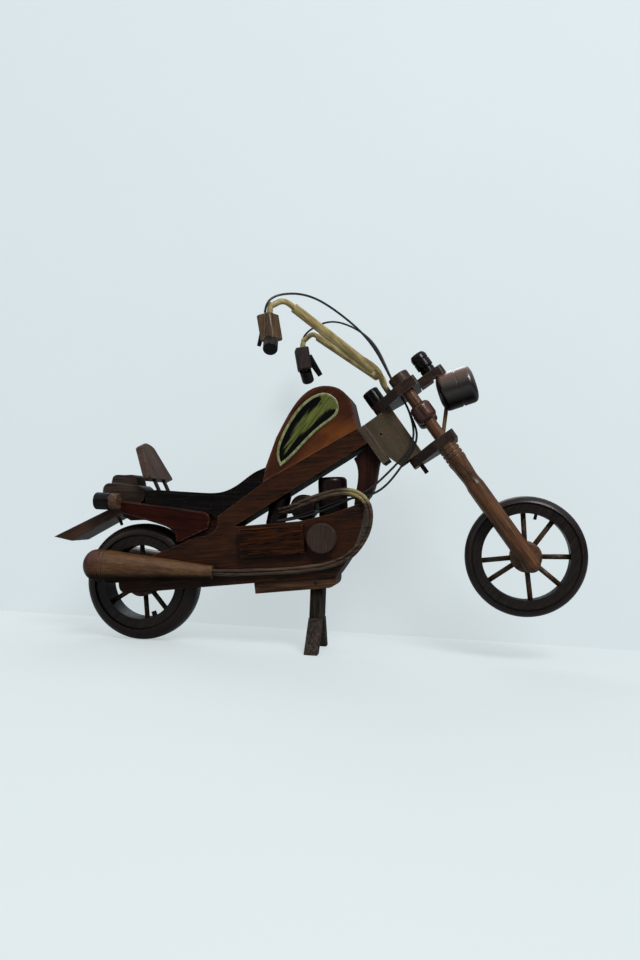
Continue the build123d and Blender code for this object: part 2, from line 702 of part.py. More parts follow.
# angle and radius of the small peg inside each rim
VALVE_PEGS = {"rear": (-70.0, 1.3), "front": (78.0, 0.8)}
for name, (axle_place, tyre_sizes, rim_sizes, axle_sizes) in WHEELS.items():
    axle_x, axle_z = axle_place
    wheel_r, tyre_half, shoulder = tyre_sizes
    rim_r, groove_r = rim_sizes
    axle_r, axle_half = axle_sizes
    peg_angle, peg_r = VALVE_PEGS[name]
    wheel_axis = Axis((axle_x, 0, axle_z), (0, 1, 0))
    section = Plane(origin=(axle_x, 0, axle_z), x_dir=(1, 0, 0), z_dir=(0, 0, 1))
    with BuildPart() as axle:
        with BuildSketch(Plane.XZ):
            with Locations((axle_x, axle_z)):
                Circle(axle_r)
        extrude(amount=axle_half, both=True)
    axle.part.label = f"{name}_axle"
    export_step(axle.part, f"parts/{name}_axle.step")

    with BuildPart() as spokes:
        with Locations(Location((axle_x, 0, axle_z), (90, 0, 0))):
            for angle in SPOKE_ANGLES[name]:
                with PolarLocations(HUB_R - SPOKE_SOCKET, 1, start_angle=angle):
                    Cylinder(
                        SPOKE_R,
                        rim_r - HUB_R + 2 * SPOKE_SOCKET,
                        rotation=(0, 90, 0),
                        align=(Align.CENTER, Align.CENTER, Align.MIN),
                    )
    spokes.part.label = f"{name}_spokes"
    export_step(spokes.part, f"parts/{name}_spokes.step")

    with BuildPart() as valve_peg:
        with Locations(Location((axle_x, 0, axle_z), (90, 0, 0))):
            with PolarLocations(rim_r + 1.0, 1, start_angle=peg_angle):
                Cylinder(
                    peg_r,
                    PEG_LENGTH,
                    rotation=(0, -90, 0),
                    align=(Align.CENTER, Align.CENTER, Align.MIN),
                )
    valve_peg.part.label = f"{name}_valve_peg"
    export_step(valve_peg.part, f"parts/{name}_valve_peg.step")

    with BuildPart() as hub:
        with BuildSketch(section):
            with BuildLine():
                Polyline(
                    (axle_r + RUNNING_FIT, -HUB_HALF),
                    (HUB_R - HUB_CHAMFER, -HUB_HALF),
                    (HUB_R, -HUB_HALF + HUB_CHAMFER),
                    (HUB_R, HUB_HALF - HUB_CHAMFER),
                    (HUB_R - HUB_CHAMFER, HUB_HALF),
                    (axle_r + RUNNING_FIT, HUB_HALF),
                    (axle_r + RUNNING_FIT, -HUB_HALF),
                )
            make_face()
            with Locations((HUB_R, -4.4), (HUB_R, -2.4), (HUB_R, 2.4), (HUB_R, 4.4)):
                Rectangle(2 * HUB_GROOVE, 0.6, mode=Mode.SUBTRACT)
        revolve(axis=wheel_axis)
        add(spokes.part, mode=Mode.SUBTRACT)
    hub.part.label = f"{name}_hub"
    export_step(hub.part, f"parts/{name}_hub.step")

    with BuildPart() as wheel_ring:
        with BuildSketch(section):
            with Locations(((rim_r + wheel_r) / 2, 0)):
                Rectangle(wheel_r - rim_r, 2 * tyre_half)
            fillet(vertices().group_by(Axis.X)[-1], shoulder)
            with Locations(((rim_r + groove_r) / 2, -tyre_half), ((rim_r + groove_r) / 2, tyre_half)):
                Rectangle(groove_r - rim_r, 2 * RIM_STEP, mode=Mode.SUBTRACT)
            with Locations((groove_r, -tyre_half), (groove_r, tyre_half)):
                Rectangle(GROOVE_WIDTH, 2 * (RIM_STEP + GROOVE_DEPTH), mode=Mode.SUBTRACT)
        revolve(axis=wheel_axis)
        add(spokes.part, mode=Mode.SUBTRACT)
        add(valve_peg.part, mode=Mode.SUBTRACT)
    wheel_ring.part.label = f"{name}_wheel_ring"
    export_step(wheel_ring.part, f"parts/{name}_wheel_ring.step")

# ---------------------------------------------------------------- steering stem and its knob
UPPER_PLATE_LOW = HEAD_TOP + PLATE_GAP
UPPER_PLATE_TOP = UPPER_PLATE_LOW + PLATE_THICK
LOWER_PLATE_TOP = HEAD_BOTTOM - PLATE_GAP
LOWER_PLATE_LOW = LOWER_PLATE_TOP - PLATE_THICK
with BuildPart() as steering_stem:
    with BuildSketch(steer_across.offset(LOWER_PLATE_LOW)):
        Circle(STEM_R)
    extrude(amount=STEM_TOP - LOWER_PLATE_LOW)
    with BuildSketch(steer_across.offset(STEM_BOTTOM)):
        Circle(STEM_PIN_R)
    extrude(amount=LOWER_PLATE_LOW - STEM_BOTTOM)
steering_stem.part.label = "steering_stem"
export_step(steering_stem.part, "parts/steering_stem.step")

KNOB_R = 4.3
KNOB_HEIGHT = 8.5
with BuildPart() as stem_knob:
    with BuildSketch(steer_across.offset(UPPER_PLATE_TOP)):
        Circle(KNOB_R)
    extrude(amount=KNOB_HEIGHT)
    fillet(stem_knob.faces().sort_by(Axis(STEER_ORIGIN, STEER_UP))[-1].edges(), 1.0)
    add(steering_stem.part, mode=Mode.SUBTRACT)
stem_knob.part.label = "stem_knob"
export_step(stem_knob.part, "parts/stem_knob.step")

# ---------------------------------------------------------------- turned fork legs, beads, caps and plates
FORK_ROD_TOP = 21.5
FORK_END = -91.5
RING_BAND_TOP = LOWER_PLATE_LOW
RING_BAND_LOW = -27.0
SLIDER_TOP = -42.0
RING_GROOVE_DEPTH = 0.5
RING_GROOVE_WIDTH = 0.7
BEAD_LOW = -3.2
BEAD_HEIGHT = 9.4
for side, tag in SIDES:
    leg_origin = steer_point(FORK_OFFSET, side * FORK_HALF_SPACING, 0)
    leg_section = Plane(origin=leg_origin, x_dir=STEER_FORWARD, z_dir=(0, -1, 0))
    with BuildPart() as fork_leg:
        with BuildSketch(leg_section):
            with BuildLine():
                Polyline(
                    (0, FORK_ROD_TOP),
                    (FORK_ROD_R, FORK_ROD_TOP),
                    (FORK_ROD_R, RING_BAND_TOP),
                    (FORK_RING_R, RING_BAND_TOP),
                    (FORK_RING_R, RING_BAND_LOW),
                )
                Spline(
                    (FORK_RING_R, RING_BAND_LOW),
                    (4.0, -33.0),
                    (3.7, -38.5),
                    (FORK_SLIDER_R, SLIDER_TOP),
                    tangents=[(-0.3, -1), (0.2, -1)],
                )
                Line((FORK_SLIDER_R, SLIDER_TOP), (FORK_SLIDER_R, FORK_END + FORK_SLIDER_R))
                RadiusArc((FORK_SLIDER_R, FORK_END + FORK_SLIDER_R), (0, FORK_END), FORK_SLIDER_R)
                Line((0, FORK_END), (0, FORK_ROD_TOP))
            make_face()
            with Locations((FORK_RING_R, -20.0), (FORK_RING_R, -22.4), (FORK_RING_R, -24.8)):
                Rectangle(2 * RING_GROOVE_DEPTH, RING_GROOVE_WIDTH, mode=Mode.SUBTRACT)
        revolve(axis=Axis(leg_origin, STEER_UP))
        with BuildSketch(Plane.XZ):
            with Locations((FRONT_AXLE_X, FRONT_AXLE_Z)):
                Circle(FRONT_AXLE_R)
        extrude(amount=FORK_HALF_SPACING, both=True, mode=Mode.SUBTRACT)
    fork_leg.part.label = f"fork_leg_{tag}"
    export_step(fork_leg.part, f"parts/fork_leg_{tag}.step")

leg_places = [(FORK_OFFSET, -FORK_HALF_SPACING), (FORK_OFFSET, FORK_HALF_SPACING)]
with BuildPart() as fork_beads:
    with BuildSketch(steer_across.offset(BEAD_LOW)):
        with Locations(*leg_places):
            Circle(BEAD_R)
    extrude(amount=BEAD_HEIGHT)
    fillet(fork_beads.edges(), 2.4)
    with BuildSketch(steer_across.offset(BEAD_LOW)):
        with Locations(*leg_places):
            Circle(FORK_ROD_R)
    extrude(amount=BEAD_HEIGHT, mode=Mode.SUBTRACT)
fork_beads.part.label = "fork_beads"
export_step(fork_beads.part, "parts/fork_beads.step")

with BuildPart() as fork_caps:
    with BuildSketch(steer_across.offset(UPPER_PLATE_TOP)):
        with Locations(*leg_places):
            Circle(FORK_CAP_R)
    extrude(amount=4.8)
    fillet(fork_caps.faces().sort_by(Axis(STEER_ORIGIN, STEER_UP))[-2:].edges(), 0.9)
    with BuildSketch(steer_across.offset(UPPER_PLATE_TOP)):
        with Locations(*leg_places):
            Circle(FORK_ROD_R)
    extrude(amount=FORK_ROD_TOP - UPPER_PLATE_TOP, mode=Mode.SUBTRACT)
fork_caps.part.label = "fork_caps"
export_step(fork_caps.part, "parts/fork_caps.step")

PLATE_FRONT = 22.0
PLATE_OUTLINE = [
    (-4, -5.5),
    (10.5, -17),
    (PLATE_FRONT, -17),
    (PLATE_FRONT, 17),
    (10.5, 17),
    (-4, 5.5),
    (-4, -5.5),
]
CABLE_HOLES = [(11.5, -5.6), (11.5, -3.6)]
CABLE_HOLE_R = 0.95
BAR_FORWARD = 7.6
BAR_HALF_SPACING = 5.2
BAR_SINK = 16.4
bar_places = [(BAR_FORWARD, -BAR_HALF_SPACING), (BAR_FORWARD, BAR_HALF_SPACING)]
with BuildPart() as upper_fork_plate:
    with BuildSketch(steer_across.offset(UPPER_PLATE_LOW)):
        with BuildLine():
            Polyline(*PLATE_OUTLINE)
        make_face()
        fillet(vertices(), 1.6)
        Circle(STEM_R, mode=Mode.SUBTRACT)
        with Locations(*leg_places):
            Circle(FORK_ROD_R, mode=Mode.SUBTRACT)
        with Locations(*CABLE_HOLES):
            Circle(CABLE_HOLE_R, mode=Mode.SUBTRACT)
    extrude(amount=PLATE_THICK)
    with BuildSketch(steer_across.offset(BAR_SINK)):
        with Locations(*bar_places):
            Circle(BAR_THIN_R)
    extrude(amount=UPPER_PLATE_TOP - BAR_SINK, mode=Mode.SUBTRACT)
upper_fork_plate.part.label = "upper_fork_plate"
export_step(upper_fork_plate.part, "parts/upper_fork_plate.step")

with BuildPart() as lower_fork_plate:
    with BuildSketch(steer_across.offset(LOWER_PLATE_LOW)):
        with BuildLine():
            Polyline(*PLATE_OUTLINE)
        make_face()
        fillet(vertices(), 1.6)
        Circle(STEM_R, mode=Mode.SUBTRACT)
        with Locations(*leg_places):
            Circle(FORK_ROD_R, mode=Mode.SUBTRACT)
    extrude(amount=PLATE_THICK)
lower_fork_plate.part.label = "lower_fork_plate"
export_step(lower_fork_plate.part, "parts/lower_fork_plate.step")

# ---------------------------------------------------------------- headlight, its bracket and strut, gauge
light_tilt = math.radians(HEADLIGHT_TILT)
light_dir = (math.cos(light_tilt), 0, math.sin(light_tilt))
light_rear = Vector(HEADLIGHT_X, 0, HEADLIGHT_Z) - Vector(*light_dir) * (HEADLIGHT_LENGTH / 2)
light_section = Plane(origin=light_rear, x_dir=light_dir, z_dir=(0, -1, 0))
STRUT_R = 1.0
STRUT_FOOT = steer_point(16.2, 0, LOWER_PLATE_TOP)
STRUT_HEAD = (65.8, 0, 130.0)
HEADLIGHT_GROOVE = 10.4
with BuildPart() as headlight:
    with BuildSketch(light_section):
        with BuildLine():
            Spline((0, 0), (0.6, 6.4), (3.2, HEADLIGHT_R), tangents=[(0, 1), (1, 0.2)])
            Line((3.2, HEADLIGHT_R), (HEADLIGHT_LENGTH - 3.5, HEADLIGHT_R))
            Spline(
                (HEADLIGHT_LENGTH - 3.5, HEADLIGHT_R),
                (HEADLIGHT_LENGTH - 0.4, 6.6),
                (HEADLIGHT_LENGTH, 0),
                tangents=[(1, 0), (0, -1)],
            )
            Line((HEADLIGHT_LENGTH, 0), (0, 0))
        make_face()
        with Locations((HEADLIGHT_GROOVE, HEADLIGHT_R)):
            Rectangle(0.8, 1.0, mode=Mode.SUBTRACT)
    revolve(axis=Axis(light_rear, light_dir))
headlight.part.label = "headlight"
export_step(headlight.part, "parts/headlight.step")

with BuildPart() as headlight_strut:
    with BuildSketch(rod_plane(STRUT_FOOT, STRUT_HEAD)):
        Circle(STRUT_R)
    extrude(amount=rod_length(STRUT_FOOT, STRUT_HEAD))
    add(headlight.part, mode=Mode.SUBTRACT)
    add(lower_fork_plate.part, mode=Mode.SUBTRACT)
headlight_strut.part.label = "headlight_strut"
export_step(headlight_strut.part, "parts/headlight_strut.step")

BRACKET_HALF = 4.2
BRACKET_LOW = 12.5
BRACKET_TOP = 17.4
BRACKET_FRONT = 36.5
BRACKET_LENGTH = BRACKET_FRONT - PLATE_FRONT
with BuildPart() as headlight_bracket:
    with BuildSketch(steer_across.offset(BRACKET_LOW)):
        with Locations(((PLATE_FRONT + BRACKET_FRONT) / 2, 0)):
            Rectangle(BRACKET_LENGTH, 2 * BRACKET_HALF)
        fillet(vertices().group_by(Axis.X)[-1], 2.5)
    extrude(amount=BRACKET_TOP - BRACKET_LOW)
    with BuildSketch(Plane(origin=light_rear, z_dir=light_dir)):
        Circle(HEADLIGHT_R)
    extrude(amount=HEADLIGHT_LENGTH, mode=Mode.SUBTRACT)
headlight_bracket.part.label = "headlight_bracket"
export_step(headlight_bracket.part, "parts/headlight_bracket.step")

gauge_origin = steer_point(29.6, 0, BRACKET_TOP)
with BuildPart() as gauge:
    with BuildSketch(Plane(origin=gauge_origin, x_dir=STEER_FORWARD, z_dir=(0, -1, 0))):
        with BuildLine():
            Polyline((0, 0), (3.7, 0), (3.7, 2.4), (3.2, 2.8), (4.2, 3.3))
            Polyline((4.2, 3.3), (4.2, 9.6), (3.4, 11.2), (0, 11.2), (0, 0))
        make_face()
        with Locations((4.2, 7.2)):
            Rectangle(0.8, 0.6, mode=Mode.SUBTRACT)
    revolve(axis=Axis(gauge_origin, STEER_UP))
gauge.part.label = "gauge"
export_step(gauge.part, "parts/gauge.step")

# ---------------------------------------------------------------- handlebars, grip blocks, grips and levers
BLOCK_CENTRE = (-16.4, 42.4, 154.6)
BLOCK_SIZE = (7.4, 9.0, 12.6)
BLOCK_YAW = 16.0
BLOCK_TILT = -12.0
# the right lever sits behind its block, the left one in front of it
LEVERS = {
    "right": ((-18.9, -42.4, 156.2), 1.5, (-21.6, -41.0, 146.2), 0.9),
    "left": ((-13.8, 43.3, 156.6), 2.2, (-6.8, 46.5, 146.2), 1.4),
}
with BuildPart() as levers:
    for tag, (lever_start, root_r, lever_end, tip_r) in LEVERS.items():
        lever_plane = rod_plane(lever_start, lever_end)
        with BuildSketch(lever_plane):
            Circle(root_r)
        with BuildSketch(lever_plane.offset(rod_length(lever_start, lever_end))):
            Circle(tip_r)
        loft()
levers.part.label = "levers"
export_step(levers.part, "parts/levers.step")

GRIP_NECK_R = 2.2
GRIP_NECK_LENGTH = 3.4
with BuildPart() as grips:
    for side, tag in SIDES:
        grip_start = (-15.7, side * 41.5, 151.0)
        grip_end = (-14.2, side * 49.0, 143.4)
        with BuildSketch(rod_plane(grip_start, grip_end)):
            Circle(GRIP_NECK_R)
        extrude(amount=rod_length(grip_start, grip_end))
        with BuildSketch(rod_plane(grip_start, grip_end).offset(GRIP_NECK_LENGTH)):
            Circle(GRIP_R)
        extrude(amount=rod_length(grip_start, grip_end) - GRIP_NECK_LENGTH)
grips.part.label = "grips"
export_step(grips.part, "parts/grips.step")

BAR_NECK = 24.0
for side, tag in SIDES:
    bar_foot = steer_point(BAR_FORWARD, side * BAR_HALF_SPACING, BAR_SINK)
    bar_neck = steer_point(BAR_FORWARD, side * BAR_HALF_SPACING, BAR_NECK)
    thick_start = (29.0, side * 10.9, 140.7)
    thick_end = (-6.6, side * 35.6, 165.6)
    block_top = (-17.0, side * 42.0, 159.6)
    with BuildPart() as handlebar:
        with BuildLine() as bar_line:
            Line(bar_foot, bar_neck)
            Spline(
                bar_neck,
                (32.6, side * 8.4, 138.2),
                (19.5, side * 17.5, 147.4),
                thick_end,
                (-12.4, side * 39.6, 167.6),
                (-15.8, side * 41.6, 165.4),
                block_top,
                tangents=[STEER_UP, (-0.1, 0, -1)],
            )
        with BuildSketch(Plane(origin=bar_foot, x_dir=STEER_FORWARD, z_dir=STEER_UP)):
            Circle(BAR_THIN_R)
        sweep(path=bar_line.line)
        with BuildSketch(rod_plane(thick_start, thick_end)):
            Circle(BAR_THICK_R)
        extrude(amount=rod_length(thick_start, thick_end))
    handlebar.part.label = f"handlebar_{tag}"
    export_step(handlebar.part, f"parts/handlebar_{tag}.step")

    block_centre = (BLOCK_CENTRE[0], side * BLOCK_CENTRE[1], BLOCK_CENTRE[2])
    block_place = Location(block_centre, (0, BLOCK_TILT, side * BLOCK_YAW))
    with BuildPart() as grip_block:
        with Locations(block_place):
            Box(*BLOCK_SIZE)
        chamfer(grip_block.edges(), 0.6)
        add(grips.part, mode=Mode.SUBTRACT)
        add(levers.part, mode=Mode.SUBTRACT)
        add(handlebar.part, mode=Mode.SUBTRACT)
    grip_block.part.label = f"grip_block_{tag}"
    export_step(grip_block.part, f"parts/grip_block_{tag}.step")

# ---------------------------------------------------------------- control cables
UPPER_CABLES = {
    "right": [
        (-18.4, -44.8, 160.8),
        (-18.2, -44.6, 166.6),
        (-10.5, -40.0, 171.2),
        (0.0, -32.0, 172.0),
        (12.0, -22.6, 166.6),
        (28.0, -13.4, 153.0),
        steer_point(12.4, -6.6, 26.0),
        steer_point(11.5, -5.6, 18.0),
        steer_point(11.3, -5.9, 13.0),
        steer_point(8.9, -8.9, 2.6),
    ],
    "left": [
        (-18.4, 44.8, 160.8),
        (-18.2, 44.6, 166.6),
        (-10.5, 39.0, 171.8),
        (0.0, 29.0, 173.0),
        (12.0, 17.0, 168.6),
        (28.0, 4.6, 155.6),
        steer_point(12.6, -2.4, 26.5),
        steer_point(11.5, -3.6, 18.0),
        steer_point(11.3, -4.1, 13.0),
        steer_point(8.7, -7.3, 2.6),
    ],
}
LOWER_CABLES = {
    "right": [
        steer_point(8.7, -9.1, 1.6),
        (50.4, -9.8, 109.1),
        (49.0, -9.9, 103.2),
        (43.7, -9.9, 96.3),
        (35.8, -9.8, 87.8),
        (27.6, -9.6, 80.6),
        (20.0, -9.6, 76.8),
        (9.0, -9.6, 71.6),
        (-4.6, -9.6, 66.6),
        (-17.0, -9.6, 64.3),
    ],
    "left": [
        steer_point(8.7, -7.5, 1.6),
        (51.4, -8.3, 112.6),
        (52.0, -8.6, 107.6),
        (50.3, -8.8, 102.4),
        (46.2, -8.8, 96.0),
        (40.8, -8.6, 88.0),
        (31.2, -8.2, 79.4),
        (20.0, -8.3, 77.0),
        (8.4, -8.3, 73.0),
        (-4.8, -8.2, 67.6),
        (-17.0, -8.3, 64.4),
    ],
}
for group, table in (("cables_upper", UPPER_CABLES), ("cables_lower", LOWER_CABLES)):
    with BuildPart() as cables:
        for tag, points in table.items():
            with BuildLine() as cable_line:
                Spline(*points)
            with BuildSketch(Plane(origin=cable_line.line @ 0, z_dir=cable_line.line % 0)):
                Circle(CABLE_R)
            sweep(path=cable_line.line)
    cables.part.label = group
    export_step(cables.part, f"parts/{group}.step")
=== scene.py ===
import heapq
import json
import math
import random

import bmesh
import bpy
from mathutils import Matrix, Vector


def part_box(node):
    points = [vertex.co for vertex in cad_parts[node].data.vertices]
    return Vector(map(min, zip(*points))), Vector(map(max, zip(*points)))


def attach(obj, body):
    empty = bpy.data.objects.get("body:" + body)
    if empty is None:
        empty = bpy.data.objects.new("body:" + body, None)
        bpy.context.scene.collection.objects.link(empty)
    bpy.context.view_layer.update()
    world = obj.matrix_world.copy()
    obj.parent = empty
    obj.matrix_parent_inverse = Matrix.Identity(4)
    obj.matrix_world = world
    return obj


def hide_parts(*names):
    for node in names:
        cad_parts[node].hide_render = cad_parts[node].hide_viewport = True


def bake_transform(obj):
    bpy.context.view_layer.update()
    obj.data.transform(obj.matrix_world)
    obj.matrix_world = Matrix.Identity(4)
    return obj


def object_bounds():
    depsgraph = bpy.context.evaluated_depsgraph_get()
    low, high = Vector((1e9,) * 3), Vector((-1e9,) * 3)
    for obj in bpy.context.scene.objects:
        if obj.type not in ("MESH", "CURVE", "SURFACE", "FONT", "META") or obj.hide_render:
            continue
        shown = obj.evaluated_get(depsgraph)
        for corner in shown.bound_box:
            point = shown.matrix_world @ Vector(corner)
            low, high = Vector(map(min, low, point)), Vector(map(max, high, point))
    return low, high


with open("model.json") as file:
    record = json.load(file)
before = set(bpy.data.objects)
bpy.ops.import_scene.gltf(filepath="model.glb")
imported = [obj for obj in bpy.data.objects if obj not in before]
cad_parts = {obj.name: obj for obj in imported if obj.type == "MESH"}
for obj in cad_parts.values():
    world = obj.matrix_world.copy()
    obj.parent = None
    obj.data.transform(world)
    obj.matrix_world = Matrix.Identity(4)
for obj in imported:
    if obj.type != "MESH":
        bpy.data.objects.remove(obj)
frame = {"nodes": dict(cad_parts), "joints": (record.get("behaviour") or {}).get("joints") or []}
cad_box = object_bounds()

MM = 0.001
SIDES = ((-1, "right"), (1, "left"))
X_AXIS = Vector((1, 0, 0))
Y_AXIS = Vector((0, 1, 0))
Z_AXIS = Vector((0, 0, 1))

JOINTS = {joint["name"]: joint for joint in frame["joints"]}
STEER_ORIGIN = Vector(JOINTS["steering_turn"]["pos_m"])
STEER_UP = Vector(JOINTS["steering_turn"]["axis"]).normalized()
STEER_FORWARD = Y_AXIS.cross(STEER_UP)


# ---------------------------------------------------------------- places read from the frame
def middle(node):
    low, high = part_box(node)
    return (low + high) / 2


# ---------------------------------------------------------------- shader graph helpers
def paint(code):
    """Linear colour of a hex code."""
    def linear(value):
        return value / 12.92 if value <= 0.04045 else ((value + 0.055) / 1.055) ** 2.4

    channels = [int(code[i:i + 2], 16) / 255 for i in (1, 3, 5)]
    return (*map(linear, channels), 1.0)


class Graph:
    """Adds and links the shader nodes of one material."""

    def __init__(self, name):
        self.material = bpy.data.materials.new(name)
        self.material.use_nodes = True
        self.nodes = self.material.node_tree.nodes
        self.links = self.material.node_tree.links
        self.nodes.clear()
        self.place = self.add("TexCoord").outputs["Object"]

    def feed(self, socket, value):
        if isinstance(value, bpy.types.NodeSocket):
            self.links.new(value, socket)
        elif value is not None:
            socket.default_value = value

    def add(self, kind, inputs=None, **settings):
        node = self.nodes.new("ShaderNode" + kind)
        for key, value in settings.items():
            setattr(node, key, value)
        for key, value in (inputs or {}).items():
            self.feed(node.inputs[key], value)
        return node

    def calc(self, operation, a, b=None, c=None, clamp=False):
        node = self.add("Math", {0: a, 1: b, 2: c}, operation=operation, use_clamp=clamp)
        return node.outputs[0]

    def dot(self, a, b):
        return self.add("VectorMath", {0: a, 1: b}, operation="DOT_PRODUCT").outputs["Value"]

    def blend(self, factor, a, b, mode="MIX"):
        node = self.add("Mix", data_type="RGBA", blend_type=mode)
        self.feed(node.inputs[0], factor)
        self.feed(node.inputs[6], a)
        self.feed(node.inputs[7], b)
        return node.outputs[2]

    def steps(self, value, low, high):
        """0 below low, 1 above high, eased between them."""
        inputs = {"Value": value, "From Min": low, "From Max": high}
        return self.add("MapRange", inputs, interpolation_type="SMOOTHSTEP").outputs["Result"]

    def along(self, direction, low, high):
        """0 before low and 1 past high, in metres along a direction of the row frame."""
        return self.steps(self.dot(self.place, Vector(direction).normalized()), low, high)

    def noise(self, vector, scale, detail=3.0, rough=0.55, seed=0.0, warp=0.0):
        inputs = {
            "Vector": vector, "W": seed, "Scale": scale,
            "Detail": detail, "Roughness": rough, "Distortion": warp,
        }
        return self.add("TexNoise", inputs, noise_dimensions="4D").outputs["Fac"]

    def fibres(self, grain, stretch):
        """Coordinates in millimetres, squeezed along the grain so that noise draws into fibres."""
        turn = Vector(grain).rotation_difference(X_AXIS).to_euler()
        inputs = {"Vector": self.place, "Rotation": turn}
        turned = self.add("VectorRotate", inputs, rotation_type="EULER_XYZ")
        scale = Vector((1 / stretch, 1, 1)) / MM
        moved = self.add("VectorMath", {0: turned.outputs[0], 1: scale}, operation="MULTIPLY")
        return moved.outputs[0]

    def millimetres(self):
        return self.add("VectorMath", {0: self.place, "Scale": 1 / MM}, operation="SCALE").outputs[0]

    def edges(self, radius):
        """1 on sharp corners and 0 on flat faces."""
        rounded = self.add("Bevel", {"Radius": radius}, samples=4).outputs["Normal"]
        flat = self.add("NewGeometry").outputs["Normal"]
        bend = self.calc("SUBTRACT", 1.0, self.dot(rounded, flat))
        return self.steps(bend, 0.01, 0.16)

    def surface(self, colour, rough, height=None, coat=0.0, lift=0.25, sheen=None, coat_rough=0.2):
        """Ends the graph in a Principled surface; height 0 to 1 is lift millimetres deep."""
        inputs = {
            "Base Color": colour, "Roughness": rough, "Coat Weight": coat,
            "Coat Roughness": coat_rough, "Specular IOR Level": sheen,
        }
        body = self.add("BsdfPrincipled", inputs)
        if height is not None:
            bump = self.add("Bump", {"Height": height, "Distance": lift * MM, "Strength": 0.9})
            self.feed(body.inputs["Normal"], bump.outputs[0])
        self.add("OutputMaterial", {"Surface": body.outputs[0]})
        return self.material


